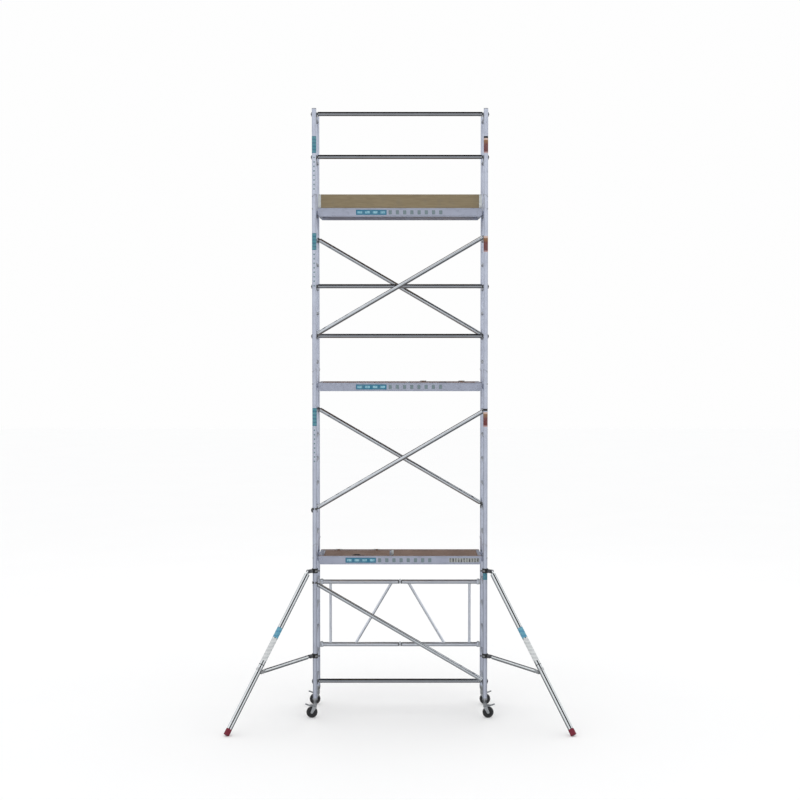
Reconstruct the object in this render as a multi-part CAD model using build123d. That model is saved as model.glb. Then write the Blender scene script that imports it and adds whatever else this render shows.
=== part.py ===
from build123d import *

import math
import os

# Mobile tower scaffold: ladder side frames stacked on a folding base, three hatch
# platforms, guard rails, diagonal braces, four braked casters and two stabilisers.
# Millimetres. X runs along the bay, Y from the front (stabilisers) to the rear, Z up.
# The origin is on the floor at the centre of the whole footprint.

# ---- driving dimensions ----
bay_length = 1920.0  # upright axis to upright axis along X
frame_width = 700.0  # upright axis to upright axis along Y
footprint_shift = 442.9  # tower centre behind the centre of the whole footprint

upright_radius = 25.4
upright_wall = 2.0
rung_radius = 17.0
rung_wall = 2.0
first_rung = 375.0
rung_pitch = 280.0
base_rungs = 6
ladder_rungs = 7
joint_above_rung = 108.0
upright_foot = 222.0
guard_rungs = (6306.0, 6786.0)
guard_top = 6848.0
cap_thickness = 6.0

spigot_radius = 23.0
spigot_half_length = 110.0
joint_pin_offset = 68.0
joint_hole_radius = 4.3
bolt_radius = 4.0
clip_pin_radius = 4.0
clip_wire_radius = 1.6
clip_loop_radius = 29.5
clip_tilt = 40.0

rail_radius = 24.0
rail_wall = 2.0
rail_inset = 118.0  # rail axis inside the upright plane, behind the braces
tube_end_gap = 36.0  # rung axis to the end of a rail or brace tube, along the tube
claw_height = 36.0
claw_bore = 25.8
beak_reach = 42.0
clip_height = 24.0
clip_outer = 30.5
rail_above_rung = 20.0
rail_rungs = (0, 14, 16)
brace_above_rung = 25.0
brace_inset = 66.0  # brace plane inside the upright plane
hook_bore = 17.4
hook_outer = 28.0

beam_height = 95.0
beam_width = 38.0
beam_above_rung = 53.0
beam_chamfer = 22.0
platform_half_width = 300.0
platform_half_length = 920.0
deck_thickness = 10.0
seam_offset = 100.0
hatch_gap = 1.5
platform_rungs = (5, 12, 19)
hatch_sides = (-1, 1, 1)
hinge_spacing = 443.0
hinge_radius = 5.0
hinge_pin_radius = 2.5
running_gap = 0.3

toe_height = 150.0
toe_thickness = 22.0

gate_tube_radius = 25.0
gate_post_radius = 15.0
gate_levels = (706.0, 1442.0)
gate_boss_x = 913.0
gate_post_x = 812.0
gate_pin_radius = 5.0

wheel_radius = 62.5
wheel_width = 32.0
wheel_trail = 36.0
axle_radius = 6.0
fork_plate = 3.5
fork_inner = 20.5
crown_low = 142.0
crown_high = 150.0
crown_half_length = 19.0
kingpin_radius = 9.0
cup_low = 153.0
cup_high = 164.0
cup_radius = 20.0
collar_low = 203.0
collar_radius = 27.0
pedal_pivot = 134.0
pedal_radius = 4.0

stabiliser_heading = 44.2
leg_radius = 30.0
leg_pivot = (95.0, 1669.0)
leg_end = (1274.0, 13.0)
strut_radius = 22.5
strut_pivot = (85.0, 704.0)
collar_share = 0.61
collar_offset = 52.0
collar_half_length = 15.0
clevis_seat = 50.0  # upright axis to the face where a clevis meets its clamp
clamp_outer = 34.0
clamp_height = 50.0
foot_radius = 32.0
foot_length = 58.0
tongue_thickness = 21.0
stabiliser_bolt_radius = 5.0

# ---- worked out from the driving dimensions ----
half_bay = bay_length / 2
tower_y = footprint_shift
front_y = tower_y - frame_width / 2
rear_y = tower_y + frame_width / 2


def rung_height(index):
    return first_rung + rung_pitch * index


last_base_rung = base_rungs - 1
joints = [
    rung_height(last_base_rung + ladder_rungs * level) + joint_above_rung for level in range(3)
]
side_names = {-1: "left", 1: "right"}
depth_names = {-1: "front", 1: "rear"}


def depth_y(end):
    return front_y if end < 0 else rear_y


# ---- basic shapes ----
def rod(start, end, radius):
    """Solid round bar between two points."""
    direction = Vector(*end) - Vector(*start)
    return extrude(Plane(origin=start, z_dir=direction) * Circle(radius), amount=direction.length)


def tube(start, end, radius, wall):
    """Round tube between two points."""
    direction = Vector(*end) - Vector(*start)
    ring = Circle(radius) - Circle(radius - wall)
    return extrude(Plane(origin=start, z_dir=direction) * ring, amount=direction.length)


def block(x0, x1, y0, y1, z0, z1):
    """Solid box between two corners, given as ranges."""
    centre = Pos((x0 + x1) / 2, (y0 + y1) / 2, (z0 + z1) / 2)
    return centre * Box(abs(x1 - x0), abs(y1 - y0), abs(z1 - z0))


def box_tube(x0, x1, y0, y1, z0, z1, wall, along):
    """Rectangular hollow section, open at both ends along one axis."""
    margins = {"x": (-1, wall, wall), "y": (wall, -1, wall)}[along]
    mx, my, mz = margins
    hollow = block(x0 + mx, x1 - mx, y0 + my, y1 - my, z0 + mz, z1 - mz)
    return block(x0, x1, y0, y1, z0, z1) - hollow


def side_plate(outline, y0, y1):
    """Outline drawn in X and Z, thickened from one Y to another."""
    plane = Plane(origin=(0, y0, 0), x_dir=(1, 0, 0), z_dir=(0, -1, 0))
    return extrude(plane * outline, amount=y1 - y0, dir=(0, 1, 0))


def hexagon(plane, across_flats, height):
    """Hexagonal bolt head or nut standing on a plane."""
    return extrude(plane * RegularPolygon(across_flats / math.sqrt(3), 6), amount=height)


def save(name, pieces):
    """Write one node as a group of its separate solids."""
    solids = [solid for piece in pieces for solid in piece.solids()]
    export_step(Compound(children=solids), f"parts/{name}.step")


# ---- ladder frames ----
def diagonal_heading(side, end):
    """Unit vector pointing outwards at 45 degrees from one upright."""
    return Vector(side, end, 0).normalized()


def cross_rod(side, end, z, radius, reach):
    """Bar through one upright along its outward diagonal."""
    axis = Vector(side * half_bay, depth_y(end), z)
    step = diagonal_heading(side, end) * reach
    return rod(tuple(axis - step), tuple(axis + step), radius)


def upright(side, end, bottom, top, hole_heights):
    x = side * half_bay
    y = depth_y(end)
    post = tube((x, y, bottom), (x, y, top), upright_radius, upright_wall)
    for z in hole_heights:
        post -= cross_rod(side, end, z, joint_hole_radius, 40)
    return post


def rung(side, z):
    """Rung between two uprights, its ends cut to the round of the uprights."""
    x = side * half_bay
    bar = tube((x, front_y, z), (x, rear_y, z), rung_radius, rung_wall)
    for y in (front_y, rear_y):
        bar -= rod((x, y, z - 40), (x, y, z + 40), upright_radius)
    return bar


def ladder_frame(side, bottom, top, rung_heights, hole_heights):
    posts = [upright(side, end, bottom, top, hole_heights) for end in (-1, 1)]
    return posts + [rung(side, z) for z in rung_heights]


def make_frames():
    base_heights = [rung_height(i) for i in range(base_rungs)]
    mid_heights = [rung_height(base_rungs + i) for i in range(ladder_rungs)]
    upper_heights = [rung_height(base_rungs + ladder_rungs + i) for i in range(ladder_rungs)]
    low, high = -joint_pin_offset, joint_pin_offset
    levels = {
        "base_frame": (upright_foot, joints[0], base_heights, [joints[0] + low]),
        "mid_frame": (joints[0], joints[1], mid_heights, [joints[0] + high, joints[1] + low]),
        "upper_frame": (joints[1], joints[2], upper_heights, [joints[1] + high, joints[2] + low]),
        "guard_frame": (joints[2], guard_top, guard_rungs, [joints[2] + high]),
    }
    for side, side_name in side_names.items():
        for name, (bottom, top, heights, holes) in levels.items():
            save(f"{name}_{side_name}", ladder_frame(side, bottom, top, heights, holes))


def corners():
    return [(side, end) for side in (-1, 1) for end in (-1, 1)]


def spigot(side, end, joint):
    x = side * half_bay
    y = depth_y(end)
    sleeve = tube(
        (x, y, joint - spigot_half_length), (x, y, joint + spigot_half_length), spigot_radius, 3.0
    )
    for z in (joint - joint_pin_offset, joint + joint_pin_offset):
        sleeve -= cross_rod(side, end, z, joint_hole_radius, 40)
    return sleeve


def spigot_bolt(side, end, joint):
    """Bolt and nut that fix a spigot in the lower frame."""
    z = joint - joint_pin_offset
    heading = diagonal_heading(side, end)
    centre = Vector(side * half_bay, depth_y(end), z)
    seat = upright_radius + 0.3
    head_plane = Plane(origin=centre + heading * seat, z_dir=heading)
    nut_plane = Plane(origin=centre - heading * seat, z_dir=-heading)
    shank = rod(tuple(centre - heading * 35), tuple(centre + heading * seat), bolt_radius)
    head = hexagon(head_plane, 13.0, 5.3)
    nut = hexagon(nut_plane, 13.0, 6.5) - rod(
        tuple(centre - heading * 40), tuple(centre), bolt_radius + 0.05
    )
    return [shank + head, nut]


def lock_clip(side, end, joint):
    """Removable pin with a sprung wire loop round the upright."""
    heading = diagonal_heading(side, end)
    centre = Vector(side * half_bay, depth_y(end), joint + joint_pin_offset)
    across = Vector(-side, end, 0).normalized()
    tilt = math.radians(clip_tilt)
    rise = across * math.cos(tilt) + Vector(0, 0, 1) * math.sin(tilt)
    loop_plane = Plane(origin=centre, x_dir=heading, z_dir=heading.cross(rise))
    loop = loop_plane * EllipticalCenterArc(
        (0, 0), clip_loop_radius, clip_loop_radius / math.cos(tilt), start_angle=0, arc_size=180
    )
    wire = sweep(Plane(origin=loop @ 0, z_dir=loop % 0) * Circle(clip_wire_radius), path=loop)
    reach = heading * (clip_loop_radius + 2.5)
    pin = rod(tuple(centre - reach), tuple(centre + reach), clip_pin_radius)
    return pin + wire


def make_joint_parts():
    places = [(side, end, joint) for joint in joints for side, end in corners()]
    save("spigots", [spigot(*place) for place in places])
    save("spigot_bolts", [piece for place in places for piece in spigot_bolt(*place)])
    save("lock_clips", [lock_clip(*place) for place in places])


def upright_cap(side, end):
    x = side * half_bay
    y = depth_y(end)
    bore = upright_radius - upright_wall
    plug = rod((x, y, guard_top - 24), (x, y, guard_top), bore - 0.2)
    disc = rod((x, y, guard_top), (x, y, guard_top + cap_thickness), upright_radius)
    return plug + disc


# ---- casters, built with the wheel trailing along +X and then turned outwards ----
def caster_place(side, end):
    return Pos(side * half_bay, depth_y(end), 0) * Rot(0, 0, 0 if side > 0 else 180)


def caster_socket():
    """Tapered socket with a stem that pushes into the foot of an upright."""
    profile = Polyline(
        (0, cup_low),
        (cup_radius, cup_low),
        (cup_radius, cup_high),
        (17, cup_high + 3),
        (collar_radius, collar_low),
        (collar_radius, upright_foot),
        (23, upright_foot),
        (23, upright_foot + 80),
        (0, upright_foot + 80),
        close=True,
    )
    body = revolve(Plane.XZ * make_face(profile), Axis.Z)
    bore = rod((0, 0, cup_low - 1), (0, 0, cup_low + 27), kingpin_radius + 0.1)
    return body - bore


def fork_outline():
    """Side plate of the fork, narrow at the crown, down to the round of the axle."""
    axle = (wheel_trail, wheel_radius)
    plate = Polygon(
        (-crown_half_length, crown_high),
        (crown_half_length, crown_high),
        (48.5, 68),
        (24, 56),
        (-crown_half_length, 122),
        align=None,
    )
    return plate + Pos(*axle) * Circle(14.0)


def caster_fork():
    fork = block(
        -crown_half_length, crown_half_length, -fork_inner, fork_inner, crown_low, crown_high
    )
    for y in (fork_inner, -fork_inner - fork_plate):
        fork += side_plate(fork_outline(), y, y + fork_plate)
    fork += rod((0, 0, crown_low), (0, 0, cup_low - running_gap), 18.0)
    fork += rod((0, 0, crown_low), (0, 0, cup_low + 24), kingpin_radius)
    reach = fork_inner + fork_plate + 1
    fork -= rod(
        (wheel_trail, -reach, wheel_radius), (wheel_trail, reach, wheel_radius), axle_radius + 0.1
    )
    fork -= rod((0, -reach, pedal_pivot), (0, reach, pedal_pivot), pedal_radius + 0.1)
    return fork


def caster_axle():
    """Axle bolt with its nut, held by the fork."""
    outer = fork_inner + fork_plate
    axis = (wheel_trail, wheel_radius)
    shank = rod((axis[0], -outer - 9, axis[1]), (axis[0], outer, axis[1]), axle_radius)
    head_plane = Plane(origin=(axis[0], outer, axis[1]), z_dir=(0, 1, 0))
    nut_plane = Plane(origin=(axis[0], -outer, axis[1]), z_dir=(0, -1, 0))
    nut_bore = rod((axis[0], -outer - 20, axis[1]), (axis[0], 0, axis[1]), axle_radius + 0.05)
    return [shank + hexagon(head_plane, 19.0, 6.0), hexagon(nut_plane, 19.0, 7.0) - nut_bore]


def wheel_profile(points):
    """Turn an outline of (radius, width) points round the axle."""
    profile = Plane.XY * Polygon(*points, align=None)
    ring = revolve(profile, Axis.Y)
    return Pos(wheel_trail, 0, wheel_radius) * ring


def caster_tyre():
    half = wheel_width / 2
    return wheel_profile(
        [
            (47.6, -half + 1),
            (54, -half),
            (59, -half + 1.5),
            (61.8, -half + 5),
            (wheel_radius, -half + 10),
            (wheel_radius, half - 10),
            (61.8, half - 5),
            (59, half - 1.5),
            (54, half),
            (47.6, half - 1),
        ]
    )


def caster_hub():
    bore = axle_radius + 0.06
    return wheel_profile(
        [
            (bore, -18),
            (14, -18),
            (15, -5),
            (39, -4),
            (41, -13),
            (47.5, -13),
            (47.5, 13),
            (41, 13),
            (39, 4),
            (15, 5),
            (14, 18),
            (bore, 18),
        ]
    )


def brake_pedal():
    """Pedal that straddles the fork and presses a pad on the tyre."""
    arm_thickness = 3.0
    arm_in = fork_inner + fork_plate + running_gap
    arm_out = arm_in + arm_thickness
    arm = Polygon((-8, 127), (8, 127), (66, 134), (72, 142), (58, 142), (0, 141), (-8, 138), align=None)
    pedal = Part()
    for y in (arm_in, -arm_out):
        pedal += side_plate(arm, y, y + arm_thickness)
    tread = Polygon((56, 138), (74, 138), (112, 153), (110.5, 157), (73, 142), (56, 142), align=None)
    pedal += side_plate(tread, -arm_out, arm_out)
    pedal += block(52, 66, -12, 12, 130.9, 140)
    pedal += rod((0, -arm_out - 4, pedal_pivot), (0, arm_out + 4, pedal_pivot), pedal_radius)
    return pedal


def make_casters():
    sockets = []
    for side, end in corners():
        place = caster_place(side, end)
        tag = f"{depth_names[end]}_{side_names[side]}"
        sockets.append(place * caster_socket())
        save(f"caster_fork_{tag}", [place * caster_fork()] + [place * p for p in caster_axle()])
        save(f"caster_tyre_{tag}", [place * caster_tyre()])
        save(f"caster_hub_{tag}", [place * caster_hub()])
        save(f"brake_pedal_{tag}", [place * brake_pedal()])
    save("caster_sockets", sockets)


# ---- guard rails and braces ----
def claw_beak(side, z, y):
    """Pointed outer jaw of a claw, seen from the front as an arrow beside the upright."""
    x = side * half_bay
    outline = Polygon(
        (x + side * 20, z + 22),
        (x + side * 34, z + 19),
        (x + side * beak_reach, z + 2),
        (x + side * beak_reach, z - 9),
        (x + side * 35, z - 29),
        (x + side * 20, z - 32),
        align=None,
    )
    return side_plate(outline, y - 14, y + 14)


def rail_tube(z):
    end = half_bay - tube_end_gap
    y = front_y + rail_inset
    return tube((-end, y, z), (end, y, z), rail_radius, rail_wall)


def brace_ends(rung_low, rung_high, low_side):
    """The two points where a brace axis passes over its rungs, in X and Z."""
    low = Vector(low_side * half_bay, 0, rung_height(rung_low) + brace_above_rung)
    high = Vector(-low_side * half_bay, 0, rung_height(rung_high) + brace_above_rung)
    return low, high


def brace_tube(ends, y):
    low, high = ends
    along = (high - low).normalized() * tube_end_gap
    shift = Vector(0, y, 0)
    return tube(tuple(low + along + shift), tuple(high - along + shift), rail_radius, rail_wall)


def rung_claw(point, towards, y, rung_z):
    """Hook that drops over a rung beside the upright and plugs into a tube."""
    half = claw_height / 2
    axis = Vector(point.X, 0, rung_z)
    near, far = Vector(0, y - half, 0), Vector(0, y + half, 0)
    disc = rod(tuple(axis + near), tuple(axis + far), hook_outer)
    along = (towards - point).normalized()
    start = point + along * 4
    shift = Vector(0, y, 0)
    neck = rod(tuple(start + shift), tuple(point + along * tube_end_gap + shift), 17.0)
    tube_zone = rod(
        tuple(point + along * tube_end_gap + shift),
        tuple(point + along * (tube_end_gap + 60) + shift),
        rail_radius + 0.3,
    )
    plug = rod(
        tuple(point + along * tube_end_gap + shift),
        tuple(point + along * (tube_end_gap + 55) + shift),
        rail_radius - rail_wall - 0.2,
    )
    past = Vector(0, 5, 0)
    bore = rod(tuple(axis + near - past), tuple(axis + far + past), hook_bore)
    mouth = block(
        point.X - hook_bore + 2, point.X + hook_bore - 2, y - 40, y + 40, rung_z - 60, rung_z
    )
    return (disc + neck - tube_zone) + plug - bore - mouth


def brace_claw(point, towards, y):
    return rung_claw(point, towards, y, point.Z - brace_above_rung)


def rail_claw(side, z):
    """Rail claw: a hook over the rung with a pointed outer jaw."""
    y = front_y + rail_inset
    hook = rung_claw(Vector(side * half_bay, 0, z), Vector(0, 0, z), y, z - rail_above_rung)
    return hook + claw_beak(side, z, y)


def upright_clip(side, z, beak_z=None):
    """Narrow-mouthed clip that ties the end of a front brace to its upright."""
    x = side * half_bay
    low, high = z - clip_height / 2, z + clip_height / 2
    clip = rod((x, front_y, low), (x, front_y, high), clip_outer)
    clip += block(x - 9, x + 9, front_y, front_y + brace_inset - 20, low, high)
    if beak_z:
        clip += claw_beak(side, beak_z, front_y)
    clip -= rod((x, front_y, z - 60), (x, front_y, z + 60), claw_bore)
    return clip - block(x - 5, x + 5, front_y - 60, front_y, low - 1, high + 1)


def make_rails_and_braces():
    guard_heights = [z + rail_above_rung for z in guard_rungs]
    bay_heights = [rung_height(i) + rail_above_rung for i in rail_rungs]
    base_height, bay_heights = bay_heights[0], bay_heights[1:]
    save("guard_rails", [rail_tube(z) for z in guard_heights + bay_heights])
    save("base_rail", [rail_tube(base_height)])
    all_heights = guard_heights + bay_heights + [base_height]
    save("rail_claws", [rail_claw(side, z) for z in all_heights for side in (-1, 1)])

    front_plane = front_y + brace_inset
    rear_plane = rear_y - brace_inset
    rows = (
        (0, 4, 1, front_plane),
        (7, 11, -1, front_plane),
        (7, 11, 1, rear_plane),
        (14, 18, -1, front_plane),
        (14, 18, 1, rear_plane),
    )
    tubes = []
    claws = []
    for rung_low, rung_high, low_side, y in rows:
        low, high = brace_ends(rung_low, rung_high, low_side)
        tubes.append(brace_tube((low, high), y))
        claws += [brace_claw(low, high, y), brace_claw(high, low, y)]
    claws.append(upright_clip(-1, rung_height(4) + 40))
    claws.append(upright_clip(-1, rung_height(7) + 33, beak_z=rung_height(7) + 24))
    save("diagonal_braces", tubes)
    save("brace_claws", claws)


# ---- platforms ----
def platform_hook(side, y, rung_z):
    """Cast hook that rests on a rung and carries one corner of a platform."""
    x = side * half_bay
    hook = rod((x, y - 15, rung_z), (x, y + 15, rung_z), hook_outer)
    arm_inner = side * platform_half_length
    hook += block(arm_inner, x, y - 15, y + 15, rung_z - 14, rung_z + hook_outer)
    hook -= rod((x, y - 20, rung_z), (x, y + 20, rung_z), hook_bore)
    hook -= block(x - hook_bore, x + 40, y - 20, y + 20, rung_z - 40, rung_z - 8)
    hook -= block(x - hook_bore, x + hook_bore, y - 20, y + 20, rung_z - 40, rung_z)
    return hook


def beam_end_cut(side, y0, y1, bottom):
    """Wedge that takes off the lower corner at one end of a side beam."""
    tip = side * platform_half_length
    corner = Polygon(
        (tip + side, bottom - 1),
        (tip - side * beam_chamfer, bottom - 1),
        (tip + side, bottom + beam_chamfer),
        align=None,
    )
    return side_plate(corner, y0 - 1, y1 + 1)


def platform_frame(rung_z, hatch_side):
    top = rung_z + beam_above_rung
    bottom = top - beam_height
    inner = platform_half_width - beam_width
    end_inner = platform_half_length - beam_width
    pieces = []
    for end in (-1, 1):
        y0, y1 = sorted((tower_y + end * platform_half_width, tower_y + end * inner))
        length = platform_half_length
        beam = box_tube(-length, length, y0, y1, bottom, top, 2.5, "x")
        for side in (-1, 1):
            beam -= beam_end_cut(side, y0, y1, bottom)
        pieces.append(beam)
    y0, y1 = tower_y - inner, tower_y + inner
    for side in (-1, 1):
        x0, x1 = sorted((side * end_inner, side * platform_half_length))
        pieces.append(box_tube(x0, x1, y0, y1, bottom + 15, top - 1, 3.0, "y"))
        for end in (-1, 1):
            pieces.append(platform_hook(side, tower_y + end * 220, rung_z))
    seam_x = hatch_side * seam_offset
    ledge = top - 2 - deck_thickness
    bar_centres = (-end_inner + 15, seam_x, -hatch_side * 480, end_inner - 15)
    for x in bar_centres:
        pieces.append(box_tube(x - 15, x + 15, y0, y1, ledge - 40, ledge, 2.5, "y"))
    return pieces


def deck_panel(rung_z, hatch_side):
    """Fixed part of the deck, on the side away from the hatch."""
    top = rung_z + beam_above_rung - 2
    inner = platform_half_width - beam_width - 0.5
    x0, x1 = sorted((hatch_side * (seam_offset - hatch_gap), -hatch_side * (end_edge() - 0.5)))
    return block(x0, x1, tower_y - inner, tower_y + inner, top - deck_thickness, top)


def end_edge():
    return platform_half_length - beam_width


def hinge_centres(hatch_side):
    middle = hatch_side * (seam_offset + end_edge()) / 2
    return [middle - hinge_spacing / 2, middle + hinge_spacing / 2]


def hinge_axis(rung_z):
    """Y and Z of the hatch hinge line."""
    return tower_y + 252.0, rung_z + beam_above_rung + 5.5


def hatch(rung_z, hatch_side):
    """Hatch panel with its two hinge leaves."""
    top = rung_z + beam_above_rung - 2 + running_gap
    y_axis, z_axis = hinge_axis(rung_z)
    front = tower_y - platform_half_width + beam_width + 1.5
    rear = y_axis - 10
    x0, x1 = sorted((hatch_side * (seam_offset + hatch_gap), hatch_side * (end_edge() - 2)))
    panel = block(x0, x1, front, rear, top - deck_thickness, top)
    pieces = [panel]
    for x in hinge_centres(hatch_side):
        leaf = block(x - 13, x + 13, rear - 38, y_axis - 2, top, top + 3)
        leaf += block(x - 13, x + 13, y_axis - 4.9, y_axis - 1, top, z_axis)
        leaf += rod((x - 13, y_axis, z_axis), (x + 13, y_axis, z_axis), hinge_radius)
        leaf -= rod((x - 20, y_axis, z_axis), (x + 20, y_axis, z_axis), hinge_pin_radius + 0.08)
        pieces.append(leaf)
    return pieces


def hatch_hinge(x, rung_z):
    """Fixed leaf with two knuckles and the hinge pin."""
    top = rung_z + beam_above_rung
    y_axis, z_axis = hinge_axis(rung_z)
    leaf = block(x - 35, x + 35, y_axis + 5, tower_y + 290, top, top + 2.5)
    for x0, x1 in ((x - 35, x - 13.5), (x + 13.5, x + 35)):
        leaf += rod((x0, y_axis, z_axis), (x1, y_axis, z_axis), hinge_radius)
        leaf += block(x0, x1, y_axis, y_axis + 10, top, top + 2.5)
    leaf += rod((x - 35, y_axis, z_axis), (x + 35, y_axis, z_axis), hinge_pin_radius)
    return leaf


def make_platforms():
    hinges = []
    for number, (index, hatch_side) in enumerate(zip(platform_rungs, hatch_sides), start=1):
        rung_z = rung_height(index)
        save(f"platform_frame_{number}", platform_frame(rung_z, hatch_side))
        save(f"deck_panel_{number}", [deck_panel(rung_z, hatch_side)])
        save(f"hatch_{number}", hatch(rung_z, hatch_side))
        hinges += [hatch_hinge(x, rung_z) for x in hinge_centres(hatch_side)]
    save("hatch_hinges", hinges)


def make_toe_boards():
    low = rung_height(platform_rungs[-1]) + beam_above_rung + 3
    high = low + toe_height
    outer = platform_half_width - 1
    long_half = platform_half_length - 17
    boards = []
    for end in (-1, 1):
        y0, y1 = sorted((tower_y + end * outer, tower_y + end * (outer - toe_thickness)))
        boards.append(block(-long_half, long_half, y0, y1, low, high))
    inner = outer - toe_thickness - 1
    for side in (-1, 1):
        x0, x1 = sorted((side * (long_half - toe_thickness), side * long_half))
        boards.append(block(x0, x1, tower_y - inner, tower_y + inner, low, high))
    save("toe_boards", boards)

    brackets = []
    for side, end in corners():
        y_face = tower_y + end * outer
        x_face = side * long_half
        sleeve = block(
            x_face - side * 16, x_face + side * 14, y_face, y_face + end * 2.5, low, high
        )
        tail = block(
            x_face + side * 0.5,
            x_face + side * 14,
            y_face,
            y_face - end * (toe_thickness + 40),
            low,
            high,
        )
        brackets.append(sleeve + tail)
    save("toe_board_brackets", brackets)


# ---- folding gate of the base unit ----
def gate_bracket(side, z):
    """Two-eared bracket on a rear upright that carries one end of a gate tube."""
    x = side * half_bay
    outer_x, inner_x = sorted((x - side * 20, side * (gate_boss_x - 15)))
    body = block(outer_x, inner_x, rear_y - 15, rear_y + 15, z - 29, z + 29)
    slot_a, slot_b = sorted((side * (gate_boss_x + 16), side * (gate_boss_x - 30)))
    body -= block(slot_a, slot_b, rear_y - 20, rear_y + 20, z - 24, z + 24)
    body -= rod((x, rear_y, z - 40), (x, rear_y, z + 40), upright_radius)
    boss_x = side * gate_boss_x
    body -= rod((boss_x, rear_y, z - 40), (boss_x, rear_y, z + 40), gate_pin_radius + 0.1)
    return body


def gate_tube(side, z):
    """Gate tube with an end boss and its half of the centre hinge."""
    boss_x = side * gate_boss_x
    pin_hole = gate_pin_radius + 0.1
    bar = tube((side * 897, rear_y, z), (side * 24, rear_y, z), gate_tube_radius, 2.0)
    boss = rod((boss_x, rear_y, z - 23.5), (boss_x, rear_y, z + 23.5), 13.5)
    boss += block(boss_x, side * 897, rear_y - 12, rear_y + 12, z - 19, z + 19)
    boss += rod((side * 902, rear_y, z), (side * 860, rear_y, z), gate_tube_radius - 2.0)
    boss -= rod((boss_x, rear_y, z - 40), (boss_x, rear_y, z + 40), pin_hole)
    knuckle = rod((side * 24, rear_y, z), (side * 60, rear_y, z), gate_tube_radius - 2.0)
    layers = ((-7.7, 7.7),) if side > 0 else ((-22, -8), (8, 22))
    for low, high in layers:
        knuckle += rod((0, rear_y, z + low), (0, rear_y, z + high), 13)
        knuckle += block(0, side * 26, rear_y - 10, rear_y + 10, z + max(low, -18), z + min(high, 18))
    knuckle -= rod((0, rear_y, z - 40), (0, rear_y, z + 40), pin_hole)
    return bar + boss + knuckle


def gate_half(side):
    low_z, high_z = gate_levels
    tubes = [gate_tube(side, z) for z in gate_levels]
    solid_low = rod((side * 897, rear_y, low_z), (side * 24, rear_y, low_z), gate_tube_radius)
    solid_high = rod((side * 897, rear_y, high_z), (side * 24, rear_y, high_z), gate_tube_radius)
    post_x = side * gate_post_x
    post = tube((post_x, rear_y, low_z), (post_x, rear_y, high_z), gate_post_radius, 2.0)
    low_end, high_end = (side * 526, rear_y, low_z), (side * 92, rear_y, high_z)
    strut = tube(low_end, high_end, gate_post_radius, 2.0)
    return tubes + [post - solid_low - solid_high, strut - solid_low - solid_high]


def make_gate():
    for side, side_name in side_names.items():
        save(f"gate_half_{side_name}", gate_half(side))
    save("gate_brackets", [gate_bracket(side, z) for side in (-1, 1) for z in gate_levels])
    pins = []
    for x in (-gate_boss_x, 0, gate_boss_x):
        reach = 33 if x else 26
        for z in gate_levels:
            pins.append(
                rod((x, rear_y, z - reach), (x, rear_y, z + reach), gate_pin_radius)
                + rod((x, rear_y, z + reach), (x, rear_y, z + reach + 4), 9.0)
            )
    save("gate_pins", pins)


# ---- stabilisers, built in a local frame: X outwards, Z up, origin on the upright axis ----
def clevis(pivot, ear_reach, width):
    """Two ears round a pivot, with a slot for a tongue between them."""
    r, z = pivot
    half_slot = tongue_thickness / 2 + 0.4
    body = block(r - ear_reach, r, -width / 2, width / 2, z - 18, z + 18)
    body += rod((r, -width / 2, z), (r, width / 2, z), 18)
    body -= block(r - ear_reach + 12, r + 40, -half_slot, half_slot, z - 40, z + 40)
    body -= rod((r, -40, z), (r, 40, z), stabiliser_bolt_radius + 0.1)
    return body


def upright_clamp(pivot):
    """Two-lobed clamp ring; the second lobe is the seat of the clevis."""
    z = pivot[1]
    half = clamp_height / 2
    ring = rod((0, 0, z - half), (0, 0, z + half), clamp_outer)
    ring += block(20, clevis_seat, -21, 21, z - half + 6, z + half - 6)
    bore = rod((0, 0, z - half - 1), (0, 0, z + half + 1), upright_radius + running_gap)
    return ring - bore


def clamp_clevis(pivot):
    return clevis(pivot, pivot[0] - clevis_seat, 42.0)


def clevis_bolt(pivot):
    r, z = pivot
    shank = rod((r, -28, z), (r, 22, z), stabiliser_bolt_radius)
    return shank + hexagon(Plane(origin=(r, 21.2, z), z_dir=(0, 1, 0)), 16.0, 6.0)


def clamp_lever(pivot):
    """Cam lever that closes a clamp, on the side that faces the front."""
    z = pivot[1]
    lever = block(-30, 30, clamp_outer + 4, clamp_outer + 10, z - 8, z + 8)
    lever += rod((-30, clamp_outer + 7, z - 9), (-30, clamp_outer + 7, z + 9), 7)
    lever += block(-8, 8, clamp_outer - 0.5, clamp_outer + 6, z - 10, z + 10)
    lever -= rod((0, 0, z - 20), (0, 0, z + 20), clamp_outer + 0.2)
    return lever


def leg_direction():
    return (Vector(leg_end[0], 0, leg_end[1]) - Vector(leg_pivot[0], 0, leg_pivot[1])).normalized()


def collar_pivot():
    """Point under the leg where the strut is bolted to the collar."""
    start = Vector(leg_pivot[0], 0, leg_pivot[1])
    end = Vector(leg_end[0], 0, leg_end[1])
    on_leg = start + (end - start) * collar_share
    along = leg_direction()
    across = Vector(along.Z, 0, -along.X)
    return on_leg, on_leg + across * collar_offset


def tongue(centre, along, length, height):
    """Flat bar from a pivot into the end of a tube."""
    plane = Plane(origin=centre, x_dir=(0, 1, 0), z_dir=along)
    bar = extrude(plane * Rectangle(tongue_thickness, height), amount=length)
    bar += rod(
        (centre.X, -tongue_thickness / 2, centre.Z),
        (centre.X, tongue_thickness / 2, centre.Z),
        height / 2,
    )
    return bar - rod((centre.X, -40, centre.Z), (centre.X, 40, centre.Z), stabiliser_bolt_radius + 0.1)


def stabiliser_leg():
    start = Vector(leg_pivot[0], 0, leg_pivot[1])
    along = leg_direction()
    end = Vector(leg_end[0], 0, leg_end[1]) - along * 9
    shell = tube(tuple(start + along * 38), tuple(end), leg_radius, 3.0)
    plug = rod(tuple(start + along * 34), tuple(start + along * 80), leg_radius - 3.0)
    return shell + plug + tongue(start, along, 40, 30)


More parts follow.
